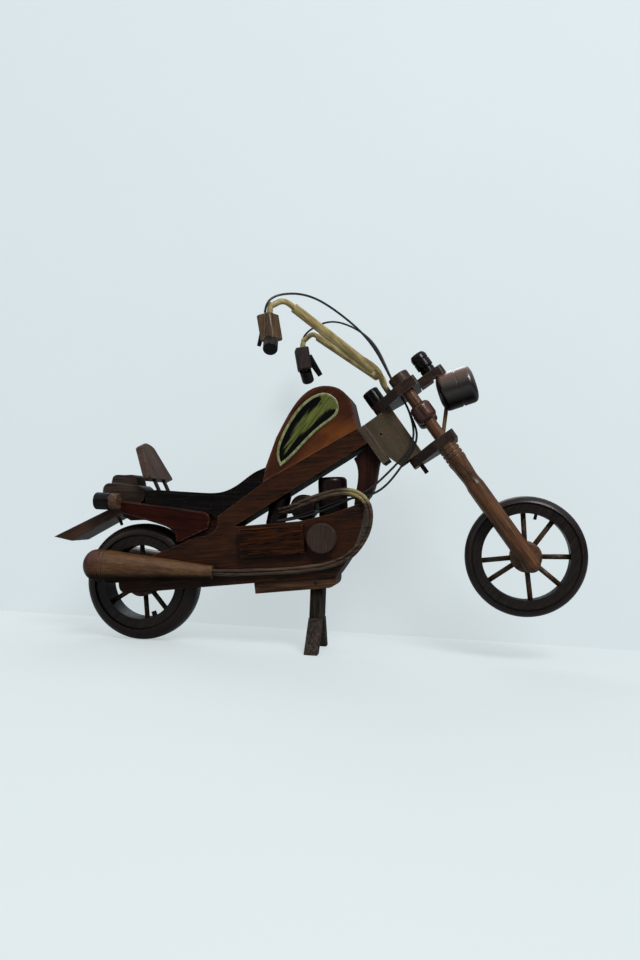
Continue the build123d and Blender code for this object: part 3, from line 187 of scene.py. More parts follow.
# ---------------------------------------------------------------- wood
class Wood:
    """Stained wood in layers: slow figure, fine fibres, open pores, worn corners and dust."""

    def __init__(self, name, deep, body, pale, grain=(1, 0, 0), seed=0.0, streaks=0.65):
        self.graph = Graph(name)
        self.grain = grain
        self.seed = seed
        g = self.graph
        long_fibres = g.fibres(grain, 22.0)
        slow_fibres = g.fibres(grain, 6.0)
        self.figure = g.noise(slow_fibres, 0.16, 3.0, 0.55, seed, 1.1)
        self.fine = g.noise(long_fibres, 1.5, 4.0, 0.65, seed + 3.1)
        self.pores = g.steps(g.noise(g.fibres(grain, 10.0), 2.6, 2.0, 0.5, seed + 7.7), 0.60, 0.74)
        self.patch = g.noise(g.millimetres(), 0.09, 2.0, 0.5, seed + 11.3)
        shade = g.steps(self.figure, 0.32, 0.68)
        streak = g.steps(self.fine, 0.40, 0.72)
        self.colour = g.blend(shade, paint(deep), paint(body))
        self.colour = g.blend(g.calc("MULTIPLY", streak, streaks), self.colour, paint(pale))
        self.height = g.calc("MULTIPLY_ADD", self.fine, 0.55, g.calc("MULTIPLY", self.patch, 0.35))
        self.shine = None  # a mask once some faces lose their shine

    def open_pores(self, amount, colour="#080403"):
        g = self.graph
        self.colour = g.blend(g.calc("MULTIPLY", self.pores, amount), self.colour, paint(colour))
        self.height = g.calc("MULTIPLY_ADD", self.pores, -0.5 * amount, self.height)
        return self

    def cracks(self, amount, spacing):
        """Long dark splits that run with the grain."""
        g = self.graph
        field = g.noise(g.fibres(self.grain, 16.0), spacing, 3.0, 0.6, self.seed + 19.0, 0.6)
        ridge = g.calc("ABSOLUTE", g.calc("SUBTRACT", field, 0.5))
        split = g.calc("SUBTRACT", 1.0, g.steps(ridge, 0.004, 0.03))
        self.colour = g.blend(g.calc("MULTIPLY", split, amount), self.colour, paint("#050302"))
        self.height = g.calc("MULTIPLY_ADD", split, -1.1 * amount, self.height)
        return self

    def patches(self, colour, amount, low=0.45, high=0.7):
        """Cloudy areas where the stain took differently."""
        g = self.graph
        share = g.calc("MULTIPLY", g.steps(self.patch, low, high), amount)
        self.colour = g.blend(share, self.colour, paint(colour))
        return self

    def worn_corners(self, colour, amount, radius=0.9):
        """Stain rubbed off the corners, broken up by the fibres."""
        g = self.graph
        rub = g.calc("MULTIPLY", g.edges(radius * MM), g.steps(self.fine, 0.30, 0.62))
        self.colour = g.blend(g.calc("MULTIPLY", rub, amount), self.colour, paint(colour))
        return self

    def dust(self, amount, colour="#a79a8c"):
        """Grey dust in specks, thicker on faces that look up."""
        g = self.graph
        specks = g.steps(g.noise(g.millimetres(), 1.9, 3.0, 0.7, self.seed + 23.0), 0.58, 0.76)
        upward = g.dot(g.add("NewGeometry").outputs["Normal"], Z_AXIS)
        share = g.calc("MULTIPLY", specks, g.steps(upward, -0.6, 1.0))
        self.colour = g.blend(g.calc("MULTIPLY", share, amount), self.colour, paint(colour))
        return self

    def tint(self, mask, colour):
        self.colour = self.graph.blend(mask, self.colour, paint(colour))
        return self

    def painted_shade_below(self, amount):
        """Painted shade: faces that look down are darkened nearly to black and have no shine."""
        g = self.graph
        downward = g.dot(g.add("NewGeometry").outputs["Normal"], -Z_AXIS)
        mask = g.calc("MULTIPLY", g.steps(downward, 0.2, 0.75), amount)
        self.shine = g.calc("SUBTRACT", 1.0, mask)
        # the near-black tint here is painted shade, not stain
        return self.tint(mask, "#050302")

    def painted_shade_inside(self, centre, amount):
        """Painted shade: faces that look towards the wheel's axle are darkened nearly to black."""
        g = self.graph
        offset = g.add("VectorMath", {0: g.place, 1: centre}, operation="SUBTRACT").outputs[0]
        inward = g.dot(g.add("NewGeometry").outputs["Normal"], offset)
        mask = g.steps(inward, -14 * MM, -6 * MM)
        # the near-black tint here is painted shade inside the rim
        return self.tint(g.calc("MULTIPLY", g.calc("SUBTRACT", 1.0, mask), amount), "#050404")

    def beyond(self, centre, radius, amount, colour):
        """Colour of everything farther from an axle than a radius in millimetres."""
        g = self.graph
        offset = g.add("VectorMath", {0: g.place, 1: centre}, operation="SUBTRACT").outputs[0]
        across = g.add("VectorMath", {0: offset, 1: Y_AXIS}, operation="CROSS_PRODUCT").outputs[0]
        distance = g.add("VectorMath", {0: across}, operation="LENGTH").outputs["Value"]
        mask = g.steps(distance, radius * MM, (radius + 0.6) * MM)
        return self.tint(g.calc("MULTIPLY", mask, amount), colour)

    def turned(self, centre, axis, amount=0.35):
        """Lathe marks: fine rings at each height and radius around an axis."""
        g = self.graph
        offset = g.add("VectorMath", {0: g.place, 1: centre}, operation="SUBTRACT").outputs[0]
        height = g.calc("MULTIPLY", g.dot(offset, Vector(axis)), 1 / MM)
        across = g.add("VectorMath", {0: offset, 1: Vector(axis)}, operation="CROSS_PRODUCT").outputs[0]
        radius = g.add("VectorMath", {0: across}, operation="LENGTH").outputs["Value"]
        rings = g.add("CombineXYZ", {0: height, 1: g.calc("MULTIPLY", radius, 1 / MM)}).outputs[0]
        marks = g.noise(rings, 1.1, 2.0, 0.6, self.seed + 29.0)
        self.height = g.calc("MULTIPLY_ADD", marks, amount, self.height)
        return self

    def finish(self, rough=0.45, spread=0.2, coat=0.0, lift=0.18, coat_rough=0.2, sheen=0.16):
        g = self.graph
        dull = g.calc("MULTIPLY_ADD", self.patch, spread, rough - spread / 2)
        dull = g.calc("MULTIPLY_ADD", self.fine, spread / 2, dull)
        if self.shine is not None:
            sheen = g.calc("MULTIPLY", self.shine, sheen)
            coat = g.calc("MULTIPLY", self.shine, coat)
        return g.surface(self.colour, dull, self.height, coat, lift, sheen, coat_rough)


def slope(rise):
    """Direction in the side view that rises by so many degrees towards the front."""
    return (math.cos(math.radians(rise)), 0, math.sin(math.radians(rise)))


NOSE_UP = 7.0
TUBE_RISE = 34.0
STEER_GRAIN = tuple(STEER_UP)


def frame_wood():
    """Body wood: brown, worn pale along its corners, with painted shade making it nearly black
    underneath.
    """
    wood = Wood("frame_wood", "#150905", "#301609", "#5d3419", slope(NOSE_UP), 1.0, 0.5)
    wood.open_pores(0.6).patches("#3d2010", 0.6).worn_corners("#8f6440", 0.45)
    # painted shade darkens the faces that look down
    return wood.painted_shade_below(0.95).dust(0.2).finish(0.42, 0.25, 0.12, sheen=0.12)


def strut_wood():
    wood = Wood("strut_wood", "#110705", "#26100a", "#472417", (0, 0, 1), 3.0)
    return wood.open_pores(0.4).worn_corners("#6d4630", 0.4).finish(0.45, 0.2, 0.1, sheen=0.12)


def tank_wood():
    """Varnished tank: purplish brown round the crown, amber in the band below the emblem."""
    wood = Wood("tank_wood", "#2b1209", "#4a220f", "#693717", slope(TUBE_RISE + 6), 5.0, 0.45)
    g = wood.graph
    heart = middle("tank_emblems")
    across = Vector((0.83, 0, -0.56))
    start = heart.dot(across)
    band = g.along(across, start + 0.5 * MM, start + 9 * MM)
    crown = g.along(Z_AXIS, heart.z - 2 * MM, heart.z + 11 * MM)
    amber = g.calc("MULTIPLY", band, g.calc("SUBTRACT", 1.0, crown))
    cloudy = g.calc("MULTIPLY_ADD", wood.figure, 0.9, 0.35, clamp=True)
    wood.tint(g.calc("MULTIPLY", amber, cloudy), "#7c431a")
    wood.open_pores(0.3).patches("#3b1a0e", 0.6).worn_corners("#6f4a3a", 0.7, 2.8)
    # painted shade darkens the tank's faces that look down
    return wood.painted_shade_below(0.8).dust(0.12).finish(0.28, 0.15, 0.6, 0.10)


def panel_wood():
    wood = Wood("panel_wood", "#150402", "#2a0a04", "#45160a", slope(-5), 9.0)
    wood.open_pores(0.4).patches("#35130a", 0.5).worn_corners("#9a8273", 0.75, 0.7)
    return wood.finish(0.42, 0.2, 0.15, sheen=0.07)


def gearbox_wood():
    wood = Wood("gearbox_wood", "#1a0902", "#381704", "#60300f", slope(NOSE_UP), 13.0)
    wood.open_pores(0.7).cracks(0.95, 0.30).worn_corners("#7d6148", 0.85, 0.8)
    return wood.finish(0.5, 0.25, 0.08, 0.3, sheen=0.08)


def belly_wood():
    wood = Wood("belly_wood", "#2a170d", "#4a2f1f", "#705036", slope(NOSE_UP), 17.0)
    wood.open_pores(0.6).cracks(0.4, 0.22).worn_corners("#8a745f", 0.5, 0.6)
    return wood.finish(0.55, 0.25, 0.05, 0.22)


def raw_wood():
    """Grey, speckled look of the steering head, browner on the plate behind it."""
    wood = Wood("raw_wood", "#453b2c", "#554937", "#6f634e", STEER_GRAIN, 21.0, 0.2)
    g = wood.graph
    back = STEER_ORIGIN.dot(STEER_FORWARD)
    plate = g.calc("SUBTRACT", 1.0, g.along(STEER_FORWARD, back - 11.8 * MM, back - 11.2 * MM))
    wood.tint(g.calc("MULTIPLY", plate, 0.55), "#4e4138")
    grit = g.steps(g.noise(g.millimetres(), 2.3, 3.0, 0.7, 25.0), 0.44, 0.62)
    wood.tint(g.calc("MULTIPLY", grit, 0.45), "#2c241b")
    wood.open_pores(0.5).patches("#5a4436", 0.5).dust(0.9, "#8f8672").worn_corners("#8d8174", 0.5)
    # painted shade darkens the faces of the steering head that look down
    return wood.painted_shade_below(0.8).finish(0.68, 0.2, 0.0, 0.28)


def pad_wood():
    wood = Wood("pad_wood", "#2c1d15", "#4a3428", "#735a47", (-0.46, 0, 0.89), 23.0, 0.45)
    wood.open_pores(0.45).patches("#3b2017", 0.6).dust(0.35).worn_corners("#8c7b6c", 0.5)
    return wood.finish(0.5, 0.2, 0.2, 0.2)


def fender_wood():
    wood = Wood("fender_wood", "#1e110b", "#38241a", "#5d4434", slope(30), 27.0)
    wood.open_pores(0.6).patches("#4d3428", 0.5).worn_corners("#82705f", 0.5)
    return wood.finish(0.5, 0.25, 0.15, 0.22)


def tail_wood():
    wood = Wood("tail_wood", "#1c130e", "#352821", "#57473c", slope(0), 29.0)
    wood.open_pores(0.55).patches("#2b1810", 0.5).dust(0.4).worn_corners("#75685c", 0.5)
    return wood.finish(0.55, 0.2, 0.1, 0.25)


def cover_wood(centre):
    wood = Wood("cover_wood", "#281c17", "#3a2c25", "#524138", (0, 0, 1), 31.0)
    wood.open_pores(0.3).dust(0.3).worn_corners("#7c6c60", 0.5, 0.6)
    return wood.turned(centre, Y_AXIS, 0.3).finish(0.6, 0.15, 0.0, 0.16)


def muffler_wood(side, tag):
    """Turned cones, reddish towards the blunt rear end."""
    low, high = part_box("muffler_" + tag)
    wood = Wood("muffler_wood_" + tag, "#452a17", "#66452a", "#8d6b45", slope(0), 35.0 + side, 0.4)
    wood.open_pores(0.45).patches("#40251a", 0.45)
    g = wood.graph
    tail = g.calc("SUBTRACT", 1.0, g.along(X_AXIS, low.x + 4 * MM, low.x + 16 * MM))
    wood.tint(g.calc("MULTIPLY", tail, 0.75), "#4a2412")
    centre = Vector((low.x, side * (abs(low.y) + abs(high.y)) / 2, middle("muffler_" + tag).z))
    # painted shade darkens the muffler's faces that look down
    wood.turned(centre, X_AXIS, 0.3).painted_shade_below(0.85)
    return wood.worn_corners("#8b745e", 0.4, 0.6).finish(0.40, 0.2, 0.35, 0.14)


def fork_wood(side, tag):
    wood = Wood("fork_wood_" + tag, "#241207", "#52301a", "#8b6240", STEER_GRAIN, 41.0 + side)
    wood.open_pores(0.6).patches("#6a4021", 0.6).turned(middle("fork_leg_" + tag), STEER_UP, 0.4)
    return wood.worn_corners("#9a8064", 0.5, 0.5).finish(0.36, 0.2, 0.4, 0.14)


def plate_wood():
    wood = Wood("plate_wood", "#1a100b", "#2e1e16", "#4c3629", (0, 1, 0), 47.0)
    wood.open_pores(0.5).dust(0.3).worn_corners("#8b7d70", 0.6, 0.6)
    return wood.finish(0.42, 0.2, 0.25, 0.18)


def cap_wood():
    """Fork caps: pale on the cut top, dark round the side."""
    wood = Wood("cap_wood", "#1d110b", "#38241a", "#5a4030", STEER_GRAIN, 51.0)
    g = wood.graph
    top = g.steps(g.dot(g.add("NewGeometry").outputs["Normal"], STEER_UP), 0.75, 0.95)
    wood.open_pores(0.4).tint(g.calc("MULTIPLY", top, 0.8), "#7d6148").worn_corners("#8b7660", 0.5, 0.5)
    return wood.finish(0.45, 0.2, 0.2, 0.16)


def bead_wood():
    wood = Wood("bead_wood", "#2a120b", "#4a2618", "#6f4632", STEER_GRAIN, 53.0)
    return wood.open_pores(0.3).turned(middle("fork_beads"), STEER_UP, 0.3).finish(0.3, 0.15, 0.6, 0.1)


def light_wood():
    """Headlight: dark turned wood under gloss varnish, with a painted highlight making the faces that
    look up browner and painted shade below.
    """
    wood = Wood("headlight_wood", "#0c0504", "#1a0e0a", "#33201a", slope(20), 57.0)
    g = wood.graph
    normal = g.add("NewGeometry").outputs["Normal"]
    top = g.steps(g.dot(normal, Vector((-0.3, 0, 1)).normalized()), 0.1, 0.8)
    # painted highlight: faces that look up are tinted brown
    wood.tint(g.calc("MULTIPLY", top, 0.7), "#6a3a18")
    # painted shade darkens the faces that look down
    wood.open_pores(0.35).turned(middle("headlight"), Vector(slope(20)), 0.3).painted_shade_below(0.8)
    return wood.worn_corners("#6e5443", 0.4, 0.5).finish(0.3, 0.12, 0.9, 0.08, 0.26, 0.45)


def wheel_wood(name, groove):
    """Near-black turned tyre: a little browner outside the groove, partly its own tone and partly painted
    highlight, with painted shade making it black inside the rim.
    """
    centre = middle(name + "_axle")
    wood = Wood(name + "_wheel_wood", "#0f0a08", "#1c1412", "#352725", (0.6, 0, 0.8), 61.0 + len(name))
    # browner outer ring is partly the tyre's tone and partly painted highlight; the inner walls get
    # painted shade
    wood.open_pores(0.5).beyond(centre, groove, 0.4, "#2c1e1a").painted_shade_inside(centre, 0.95)
    wood.turned(centre, Y_AXIS, 0.5).worn_corners("#3d2f2a", 0.5, 0.6)
    return wood.dust(0.08).finish(0.36, 0.2, 0.25, 0.14)


def hub_wood(name):
    wood = Wood(name + "_hub_wood", "#332117", "#5c4130", "#88694f", (0, 1, 0), 67.0 + len(name))
    wood.open_pores(0.4).turned(middle(name + "_axle"), Y_AXIS, 0.3).worn_corners("#8b6f57", 0.4, 0.5)
    return wood.finish(0.45, 0.2, 0.2, 0.16)


def stand_wood(name, deep, body, pale, seed):
    wood = Wood(name, deep, body, pale, (0, 0, 1), seed)
    wood.open_pores(0.7).cracks(0.7, 0.45).worn_corners("#6d6258", 0.4, 0.6)
    return wood.finish(0.62, 0.2, 0.0, 0.28)


def black_lacquer(name, seed, dusty=0.25, hint="#241a18"):
    """Thick black lacquer that still shows a little grain, with dust on top."""
    wood = Wood(name, "#050404", "#0b0808", hint, (1, 0, 0), seed)
    wood.worn_corners("#4a403a", 0.35, 0.5).dust(dusty, "#8d8078")
    return wood.finish(0.22, 0.14, 0.22, 0.06, 0.15, 0.12)


def block_wood(tag, deep, body, pale, seed):
    wood = Wood("block_wood_" + tag, deep, body, pale, (0, 0, 1), seed)
    return wood.open_pores(0.4).worn_corners("#8a7059", 0.5, 0.5).finish(0.4, 0.2, 0.3)


def cylinder_wood():
    wood = Wood("cylinder_wood", "#0b0403", "#1c0c08", "#351a10", (0, 0, 1), 71.0)
    return wood.open_pores(0.3).worn_corners("#5a3626", 0.5, 0.6).finish(0.34, 0.14, 0.3, 0.08)


def dark_peg():
    wood = Wood("dark_peg", "#120b08", "#241711", "#3d2a20", (0, 0, 1), 73.0)
    return wood.open_pores(0.4).worn_corners("#5c493c", 0.4, 0.3).finish(0.5, 0.2, 0.1, 0.12)


# ---------------------------------------------------------------- cane, rattan, bamboo, cord and inlay
def cane_bar(side, tag):
    """Peeled cane: pale gold with brown stain runs and a dark foot near the fork plate."""
    run = Vector((-0.62, side * 0.55, 0.56)).normalized()
    wood = Wood("cane_bar_" + tag, "#7d6838", "#b29b60", "#dccd9d", tuple(run), 81.0 + side)
    wood.open_pores(0.5, "#3a2612").patches("#6b4f27", 0.7, 0.5, 0.72)
    g = wood.graph
    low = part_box("handlebar_" + tag)[0].z
    foot = g.calc("SUBTRACT", 1.0, g.along(Z_AXIS, low + 4 * MM, low + 13 * MM))
    wood.tint(g.calc("MULTIPLY", foot, 0.8), "#3a2512")
    return wood.finish(0.38, 0.2, 0.35, 0.2)


def rattan(side, tag):
    """Split rattan: stained brown, bare and yellow round the front bend."""
    wood = Wood("rattan_" + tag, "#1d130d", "#3d2c22", "#77614e", (1, 0, 0.1), 87.0 + side)
    wood.open_pores(0.4)
    g = wood.graph
    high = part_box("exhaust_pipe_" + tag)[1]
    top = g.along(Z_AXIS, high.z - 9 * MM, high.z - 4 * MM)
    ragged = g.calc("MULTIPLY_ADD", wood.patch, 8 * MM, g.dot(g.place, X_AXIS))
    front = g.steps(ragged, high.x - 16 * MM, high.x - 5 * MM)
    bare = g.calc("MULTIPLY", front, top)
    wood.tint(g.calc("MULTIPLY", bare, 0.85), "#9a8a58")
    streak = g.steps(wood.fine, 0.5, 0.7)
    wood.tint(g.calc("MULTIPLY", g.calc("MULTIPLY", streak, bare), 0.6), "#c9bd92")
    return wood.finish(0.4, 0.2, 0.3, 0.2)


def bamboo(name):
    """Dark split bamboo: fine pith lines and a pale fleck here and there."""
    wood = Wood(name + "_bamboo", "#24160d", "#43301f", "#6e553b", (0.7, 0, 0.7), 91.0 + len(name))
    return wood.open_pores(0.6).patches("#5d4a33", 0.5).finish(0.42, 0.2, 0.25, 0.16)


def cord():
    """Black waxed cord with a tight twist."""
    g = Graph("cord")
    twist = g.noise(g.millimetres(), 2.6, 2.0, 0.6, 95.0)
    colour = g.blend(g.steps(twist, 0.35, 0.7), paint("#08090b"), paint("#1d1f23"))
    return g.surface(colour, g.calc("MULTIPLY_ADD", twist, 0.2, 0.3), twist, 0.2, 0.12)


def emblem_rim():
    """Painted olive-cream border, a little rubbed."""
    g = Graph("emblem_rim")
    cloud = g.noise(g.millimetres(), 0.5, 3.0, 0.6, 101.0)
    rubbed = g.noise(g.millimetres(), 2.4, 3.0, 0.7, 103.0)
    colour = g.blend(g.steps(cloud, 0.35, 0.65), paint("#65662f"), paint("#9d9f6c"))
    colour = g.blend(g.steps(rubbed, 0.62, 0.78), colour, paint("#3b3418"))
    return g.surface(colour, 0.32, rubbed, 0.5, 0.06)


def emblem_field():
    """Gold-olive brush strokes feathering out over black, drawn in the leaf's own coordinates."""
    g = Graph("emblem_field")
    run = g.add("Attribute", attribute_name="leaf_run").outputs["Fac"]
    side = g.add("Attribute", attribute_name="leaf_side").outputs["Fac"]
    stretched = {0: g.calc("MULTIPLY", run, 1.6), 1: g.calc("MULTIPLY", side, 7.0)}
    stroke_place = g.add("CombineXYZ", stretched)
    strokes = g.noise(stroke_place.outputs[0], 1.3, 4.0, 0.62, 107.0, 0.25)
    bend = g.calc("POWER", g.calc("ABSOLUTE", g.calc("SUBTRACT", run, 0.42)), 2.0)
    middle_line = g.calc("MULTIPLY_ADD", bend, -2.35, 0.42)
    across = g.calc("ABSOLUTE", g.calc("SUBTRACT", side, middle_line))
    width = g.calc("MINIMUM", g.calc("MULTIPLY_ADD", run, 1.2, -0.17), 0.43)
    head = g.calc("MULTIPLY", g.steps(run, 0.84, 0.98), 0.8)
    feather = g.calc("MULTIPLY_ADD", run, -1.1, 1.9)
    wisps = g.calc("MULTIPLY", g.calc("SUBTRACT", strokes, 0.5), feather)
    cover = g.calc("ADD", g.calc("SUBTRACT", g.calc("ADD", width, head), across), wisps)
    gold = g.steps(cover, 0.0, 0.12)
    shade = g.noise(stroke_place.outputs[0], 2.6, 4.0, 0.7, 109.0)
    olive = g.blend(g.steps(shade, 0.35, 0.65), paint("#464c1f"), paint("#757b40"))
    olive = g.blend(g.steps(shade, 0.64, 0.78), olive, paint("#b9bd86"))
    black = g.blend(g.steps(shade, 0.5, 0.8), paint("#050506"), paint("#121215"))
    return g.surface(g.blend(gold, black, olive), 0.3, g.calc("MULTIPLY", gold, shade), 0.15, 0.08, 0.15)


# ---------------------------------------------------------------- carried-over nodes
WELD_GAP = 0.002 * MM
SHARP_CORNER = math.radians(38)


def soften(node, width, segments=3, flatness=0.6):
    """Joins the node's split faces, rounds its corners and evens its shading; the mesh stays."""
    item = frame["nodes"][node]
    weld = item.modifiers.new("weld", "WELD")
    weld.merge_threshold = WELD_GAP
    flat = item.modifiers.new("flat", "DECIMATE")
    flat.decimate_type = "DISSOLVE"
    flat.angle_limit = math.radians(flatness)
    if width:
        bevel = item.modifiers.new("bevel", "BEVEL")
        bevel.width = width * MM
        bevel.segments = segments
        bevel.limit_method = "ANGLE"
        bevel.angle_limit = SHARP_CORNER
        bevel.miter_outer = "MITER_ARC"
    smooth = item.modifiers.new("smooth", "WEIGHTED_NORMAL")
    smooth.keep_sharp = False
    return item


def coat(nodes, material, width, slot, segments=3, flatness=0.6):
    for node in nodes:
        item = soften(node, width, segments, flatness)
        item.data.materials.clear()
        item.data.materials.append(material)


def both(name):
    return [name + "_right", name + "_left"]


def dress_frame():
    coat(["main_frame"], frame_wood(), 0.9, "frame_wood")
    coat(["fuel_tank"], tank_wood(), 2.6, "orange_wood", 5, 0.05)
    coat(["headstock_block"], raw_wood(), 0.5, "raw_wood")
    coat(["down_tube"], strut_wood(), 0.6, "frame_wood")
    coat(["backrest_pad"], pad_wood(), 0.6, "raw_wood")
    coat(["seat"], black_lacquer("seat_lacquer", 121.0, 0.5), 1.8, "black_lacquer", 4)
    coat(both("side_panel"), panel_wood(), 0.4, "red_wood")
    coat(["rear_fender"], fender_wood(), 0.5, "frame_wood")
    coat(["tail_block"], tail_wood(), 0.8, "raw_wood")
    coat(both("gearbox_block"), gearbox_wood(), 0.3, "frame_wood")
    coat(["round_covers"], cover_wood(middle("round_covers")), 0.3, "raw_wood")
    coat(["belly_block"], belly_wood(), 0.6, "frame_wood")
    coat(["front_cylinder", "rear_cylinder", "air_cleaner"], cylinder_wood(), 0.6, "frame_wood")
    coat(["tail_lamps"], black_lacquer("lamp_lacquer", 129.0), 0.4, "black_lacquer")
    coat(["tail_lamp_bases"], hub_wood("rear"), 0.3, "hub_wood")
    coat(["backrest_pins", "fender_pin", "stand_pin", "rear_axle"], dark_peg(), 0.15, "dark_peg")
    for side, tag in SIDES:
        coat(["muffler_" + tag], muffler_wood(side, tag), 0.3, "frame_wood")


def dress_stand():
    post_wood = stand_wood("post_wood", "#120c08", "#261b13", "#4d4034", 131.0)
    coat(["stand_post"], post_wood, 0.4, "frame_wood")
    foot_wood = stand_wood("foot_wood", "#241c16", "#3a3029", "#5d5147", 133.0)
    coat(both("stand_foot"), foot_wood, 0.4, "raw_wood")


def dress_wheel(name, groove):
    coat([name + "_wheel_ring"], wheel_wood(name, groove), 0.25, "wheel_black")
    coat([name + "_hub"], hub_wood(name), 0.25, "hub_wood")
    coat([name + "_spokes"], bamboo(name), 0.0, "bamboo")
    coat([name + "_valve_peg"], dark_peg(), 0.15, "dark_peg")


def dress_steering():
    plates = ["upper_fork_plate", "lower_fork_plate", "headlight_bracket"]
    coat(plates, plate_wood(), 0.5, "frame_wood")
    coat(["fork_beads"], bead_wood(), 0.3, "red_wood")
    coat(["fork_caps"], cap_wood(), 0.3, "fork_wood")
    coat(["headlight"], light_wood(), 0.2, "frame_wood")
    coat(["gauge", "stem_knob"], black_lacquer("knob_lacquer", 141.0, 0.2), 0.3, "black_lacquer")
    grip_lacquer = black_lacquer("grip_lacquer", 143.0, 0.35, "#3a2a20")
    coat(["grips", "levers"], grip_lacquer, 0.3, "black_lacquer")
    near_block = block_wood("right", "#2a1a10", "#57402b", "#8a6f50", 145.0)
    far_block = block_wood("left", "#160e0e", "#2a1c1b", "#4a3631", 147.0)
    coat(["grip_block_right"], near_block, 0.5, "fork_wood")
    coat(["grip_block_left"], far_block, 0.5, "fork_wood")
    coat(["steering_stem", "front_axle"], dark_peg(), 0.15, "dark_peg")
    coat(["headlight_strut"], block_wood("strut", "#3a2616", "#6e5234", "#9b7d56", 149.0), 0.15, "bamboo")
    for side, tag in SIDES:
        coat(["fork_leg_" + tag], fork_wood(side, tag), 0.2, "fork_wood")
        coat(["handlebar_" + tag], cane_bar(side, tag), 0.2, "bamboo")


# ---------------------------------------------------------------- mesh helpers
def new_piece(name, mesh_builder, material, smooth=True):
    """Object from a bmesh, at the origin of the row frame."""
    mesh = bpy.data.meshes.new(name)
    mesh_builder.to_mesh(mesh)
    mesh_builder.free()
    mesh.materials.append(material)
    for polygon in mesh.polygons:
        polygon.use_smooth = smooth
    item = bpy.data.objects.new(name, mesh)
    bpy.context.scene.collection.objects.link(item)
    return item


def solids(node):
    """The separate solids of a CAD node, each as (points, neighbours of each point)."""
    builder = bmesh.new()
    builder.from_mesh(frame["nodes"][node].data)
    bmesh.ops.remove_doubles(builder, verts=builder.verts, dist=0.001 * MM)
    builder.verts.ensure_lookup_table()
    found = []
    waiting = set(range(len(builder.verts)))
    while waiting:
        stack = [min(waiting)]
        waiting.discard(stack[0])
        links = {}
        while stack:
            index = stack.pop()
            vert = builder.verts[index]
            near = [edge.other_vert(vert).index for edge in vert.link_edges]
            links[index] = near
            fresh = [other for other in near if other in waiting]
            waiting.difference_update(fresh)
            stack.extend(fresh)
        found.append(({index: builder.verts[index].co.copy() for index in links}, links))
    builder.free()
    return found


def centreline(points, links, start, step):
    """Middle of a thin swept tube: points at equal walking distance from its start end, averaged."""
    first = min(points, key=lambda index: (points[index] - start).length)
    walked = {first: 0.0}
    queue = [(0.0, first)]
    while queue:
        distance, index = heapq.heappop(queue)
        if distance > walked[index]:
            continue
        for other in links[index]:
            further = distance + (points[other] - points[index]).length
            if further < walked.get(other, math.inf):
                walked[other] = further
                heapq.heappush(queue, (further, other))
    bands = {}
    for index, distance in walked.items():
        bands.setdefault(int(distance / step), []).append(points[index])
    return [sum(bands[band], Vector()) / len(bands[band]) for band in sorted(bands)]


def smooth_line(points, passes):
    """Evens a line of points, keeping its two ends."""
    line = list(points)
    for _ in range(passes):
        inner = [(line[i - 1] + 2 * line[i] + line[i + 1]) / 4 for i in range(1, len(line) - 1)]
        line = [line[0]] + inner + [line[-1]]
    return line


def even_line(points, count):
    """The same line with count points evenly spaced along it."""
    reach = [0.0]
    for before, after in zip(points, points[1:]):
        reach.append(reach[-1] + (after - before).length)
    line = []
    segment = 0
    for number in range(count):
        target = reach[-1] * number / (count - 1)
        while segment < len(points) - 2 and reach[segment + 1] < target:
            segment += 1
        span = max(reach[segment + 1] - reach[segment], 1e-9)
        line.append(points[segment].lerp(points[segment + 1], (target - reach[segment]) / span))
    return line


def tube(builder, line, radius, sides=12):
    """Closed tube round a line; radius is a function of (share along, angle round)."""
    tangents = []
    for i in range(len(line)):
        tangents.append((line[min(i + 1, len(line) - 1)] - line[max(i - 1, 0)]).normalized())
    across = tangents[0].orthogonal().normalized()
    rings = []
    for i, centre in enumerate(line):
        if i:
            across = tangents[i - 1].rotation_difference(tangents[i]) @ across
        upward = tangents[i].cross(across)
        ring = []
        for k in range(sides):
            angle = 2 * math.pi * k / sides
            out = across * math.cos(angle) + upward * math.sin(angle)
            ring.append(builder.verts.new(centre + out * radius(i / (len(line) - 1), angle)))
        rings.append(ring)
    for before, after in zip(rings, rings[1:]):
        for k in range(sides):
            builder.faces.new((before[k], before[(k + 1) % sides], after[(k + 1) % sides], after[k]))
    builder.faces.new(list(reversed(rings[0])))
    builder.faces.new(rings[-1])


# ---------------------------------------------------------------- rattan exhaust pipes
PIPE_STEP = 2.5 * MM
PIPE_POINTS = 150
STRAND_OFFSET = 0.85 * MM
STRAND_R = 0.95 * MM
STRAND_WANDER = 0.10 * MM
STRAND_SIDES = 20


def rattan_pipe(side, tag):
    """Two split canes side by side, one on the outside of every bend and one on the inside."""
    node = "exhaust_pipe_" + tag
    points, links = solids(node)[0]
    rear_cylinder = middle("rear_cylinder")
    start = Vector((rear_cylinder.x, side * 4 * MM, rear_cylinder.z))
    line = even_line(smooth_line(centreline(points, links, start, PIPE_STEP), 6), PIPE_POINTS)
    rng = random.Random(70 + side)
    builder = bmesh.new()
    for strand in (-1, 1):
        phase = rng.uniform(0, 6)
        shifted = []
        for i, point in enumerate(line):
            run = (line[min(i + 1, len(line) - 1)] - line[max(i - 1, 0)]).normalized()
            out = run.cross(Y_AXIS * side).normalized()
            wander = STRAND_WANDER * math.sin(i * 0.13 + phase)
            shifted.append(point + out * (strand * STRAND_OFFSET) + Y_AXIS * wander)

        def radius(share, angle, phase=phase):
            fibres = 0.05 * math.cos(5 * angle + phase) + 0.03 * math.cos(9 * angle)
            swell = 0.06 * math.sin(share * 31 + phase) + 0.03 * math.sin(share * 77)
            return STRAND_R * (1 + fibres + swell)

        tube(builder, shifted, radius, STRAND_SIDES)
    piece = new_piece("rattan_pipe_" + tag, builder, rattan(side, tag))
    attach(piece, "frame")
    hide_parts(node)


# ---------------------------------------------------------------- control cords
CORD_R = 0.55 * MM
CORD_STEP = 1.6 * MM
CORD_POINTS = 190
CORD_SIDES = 12


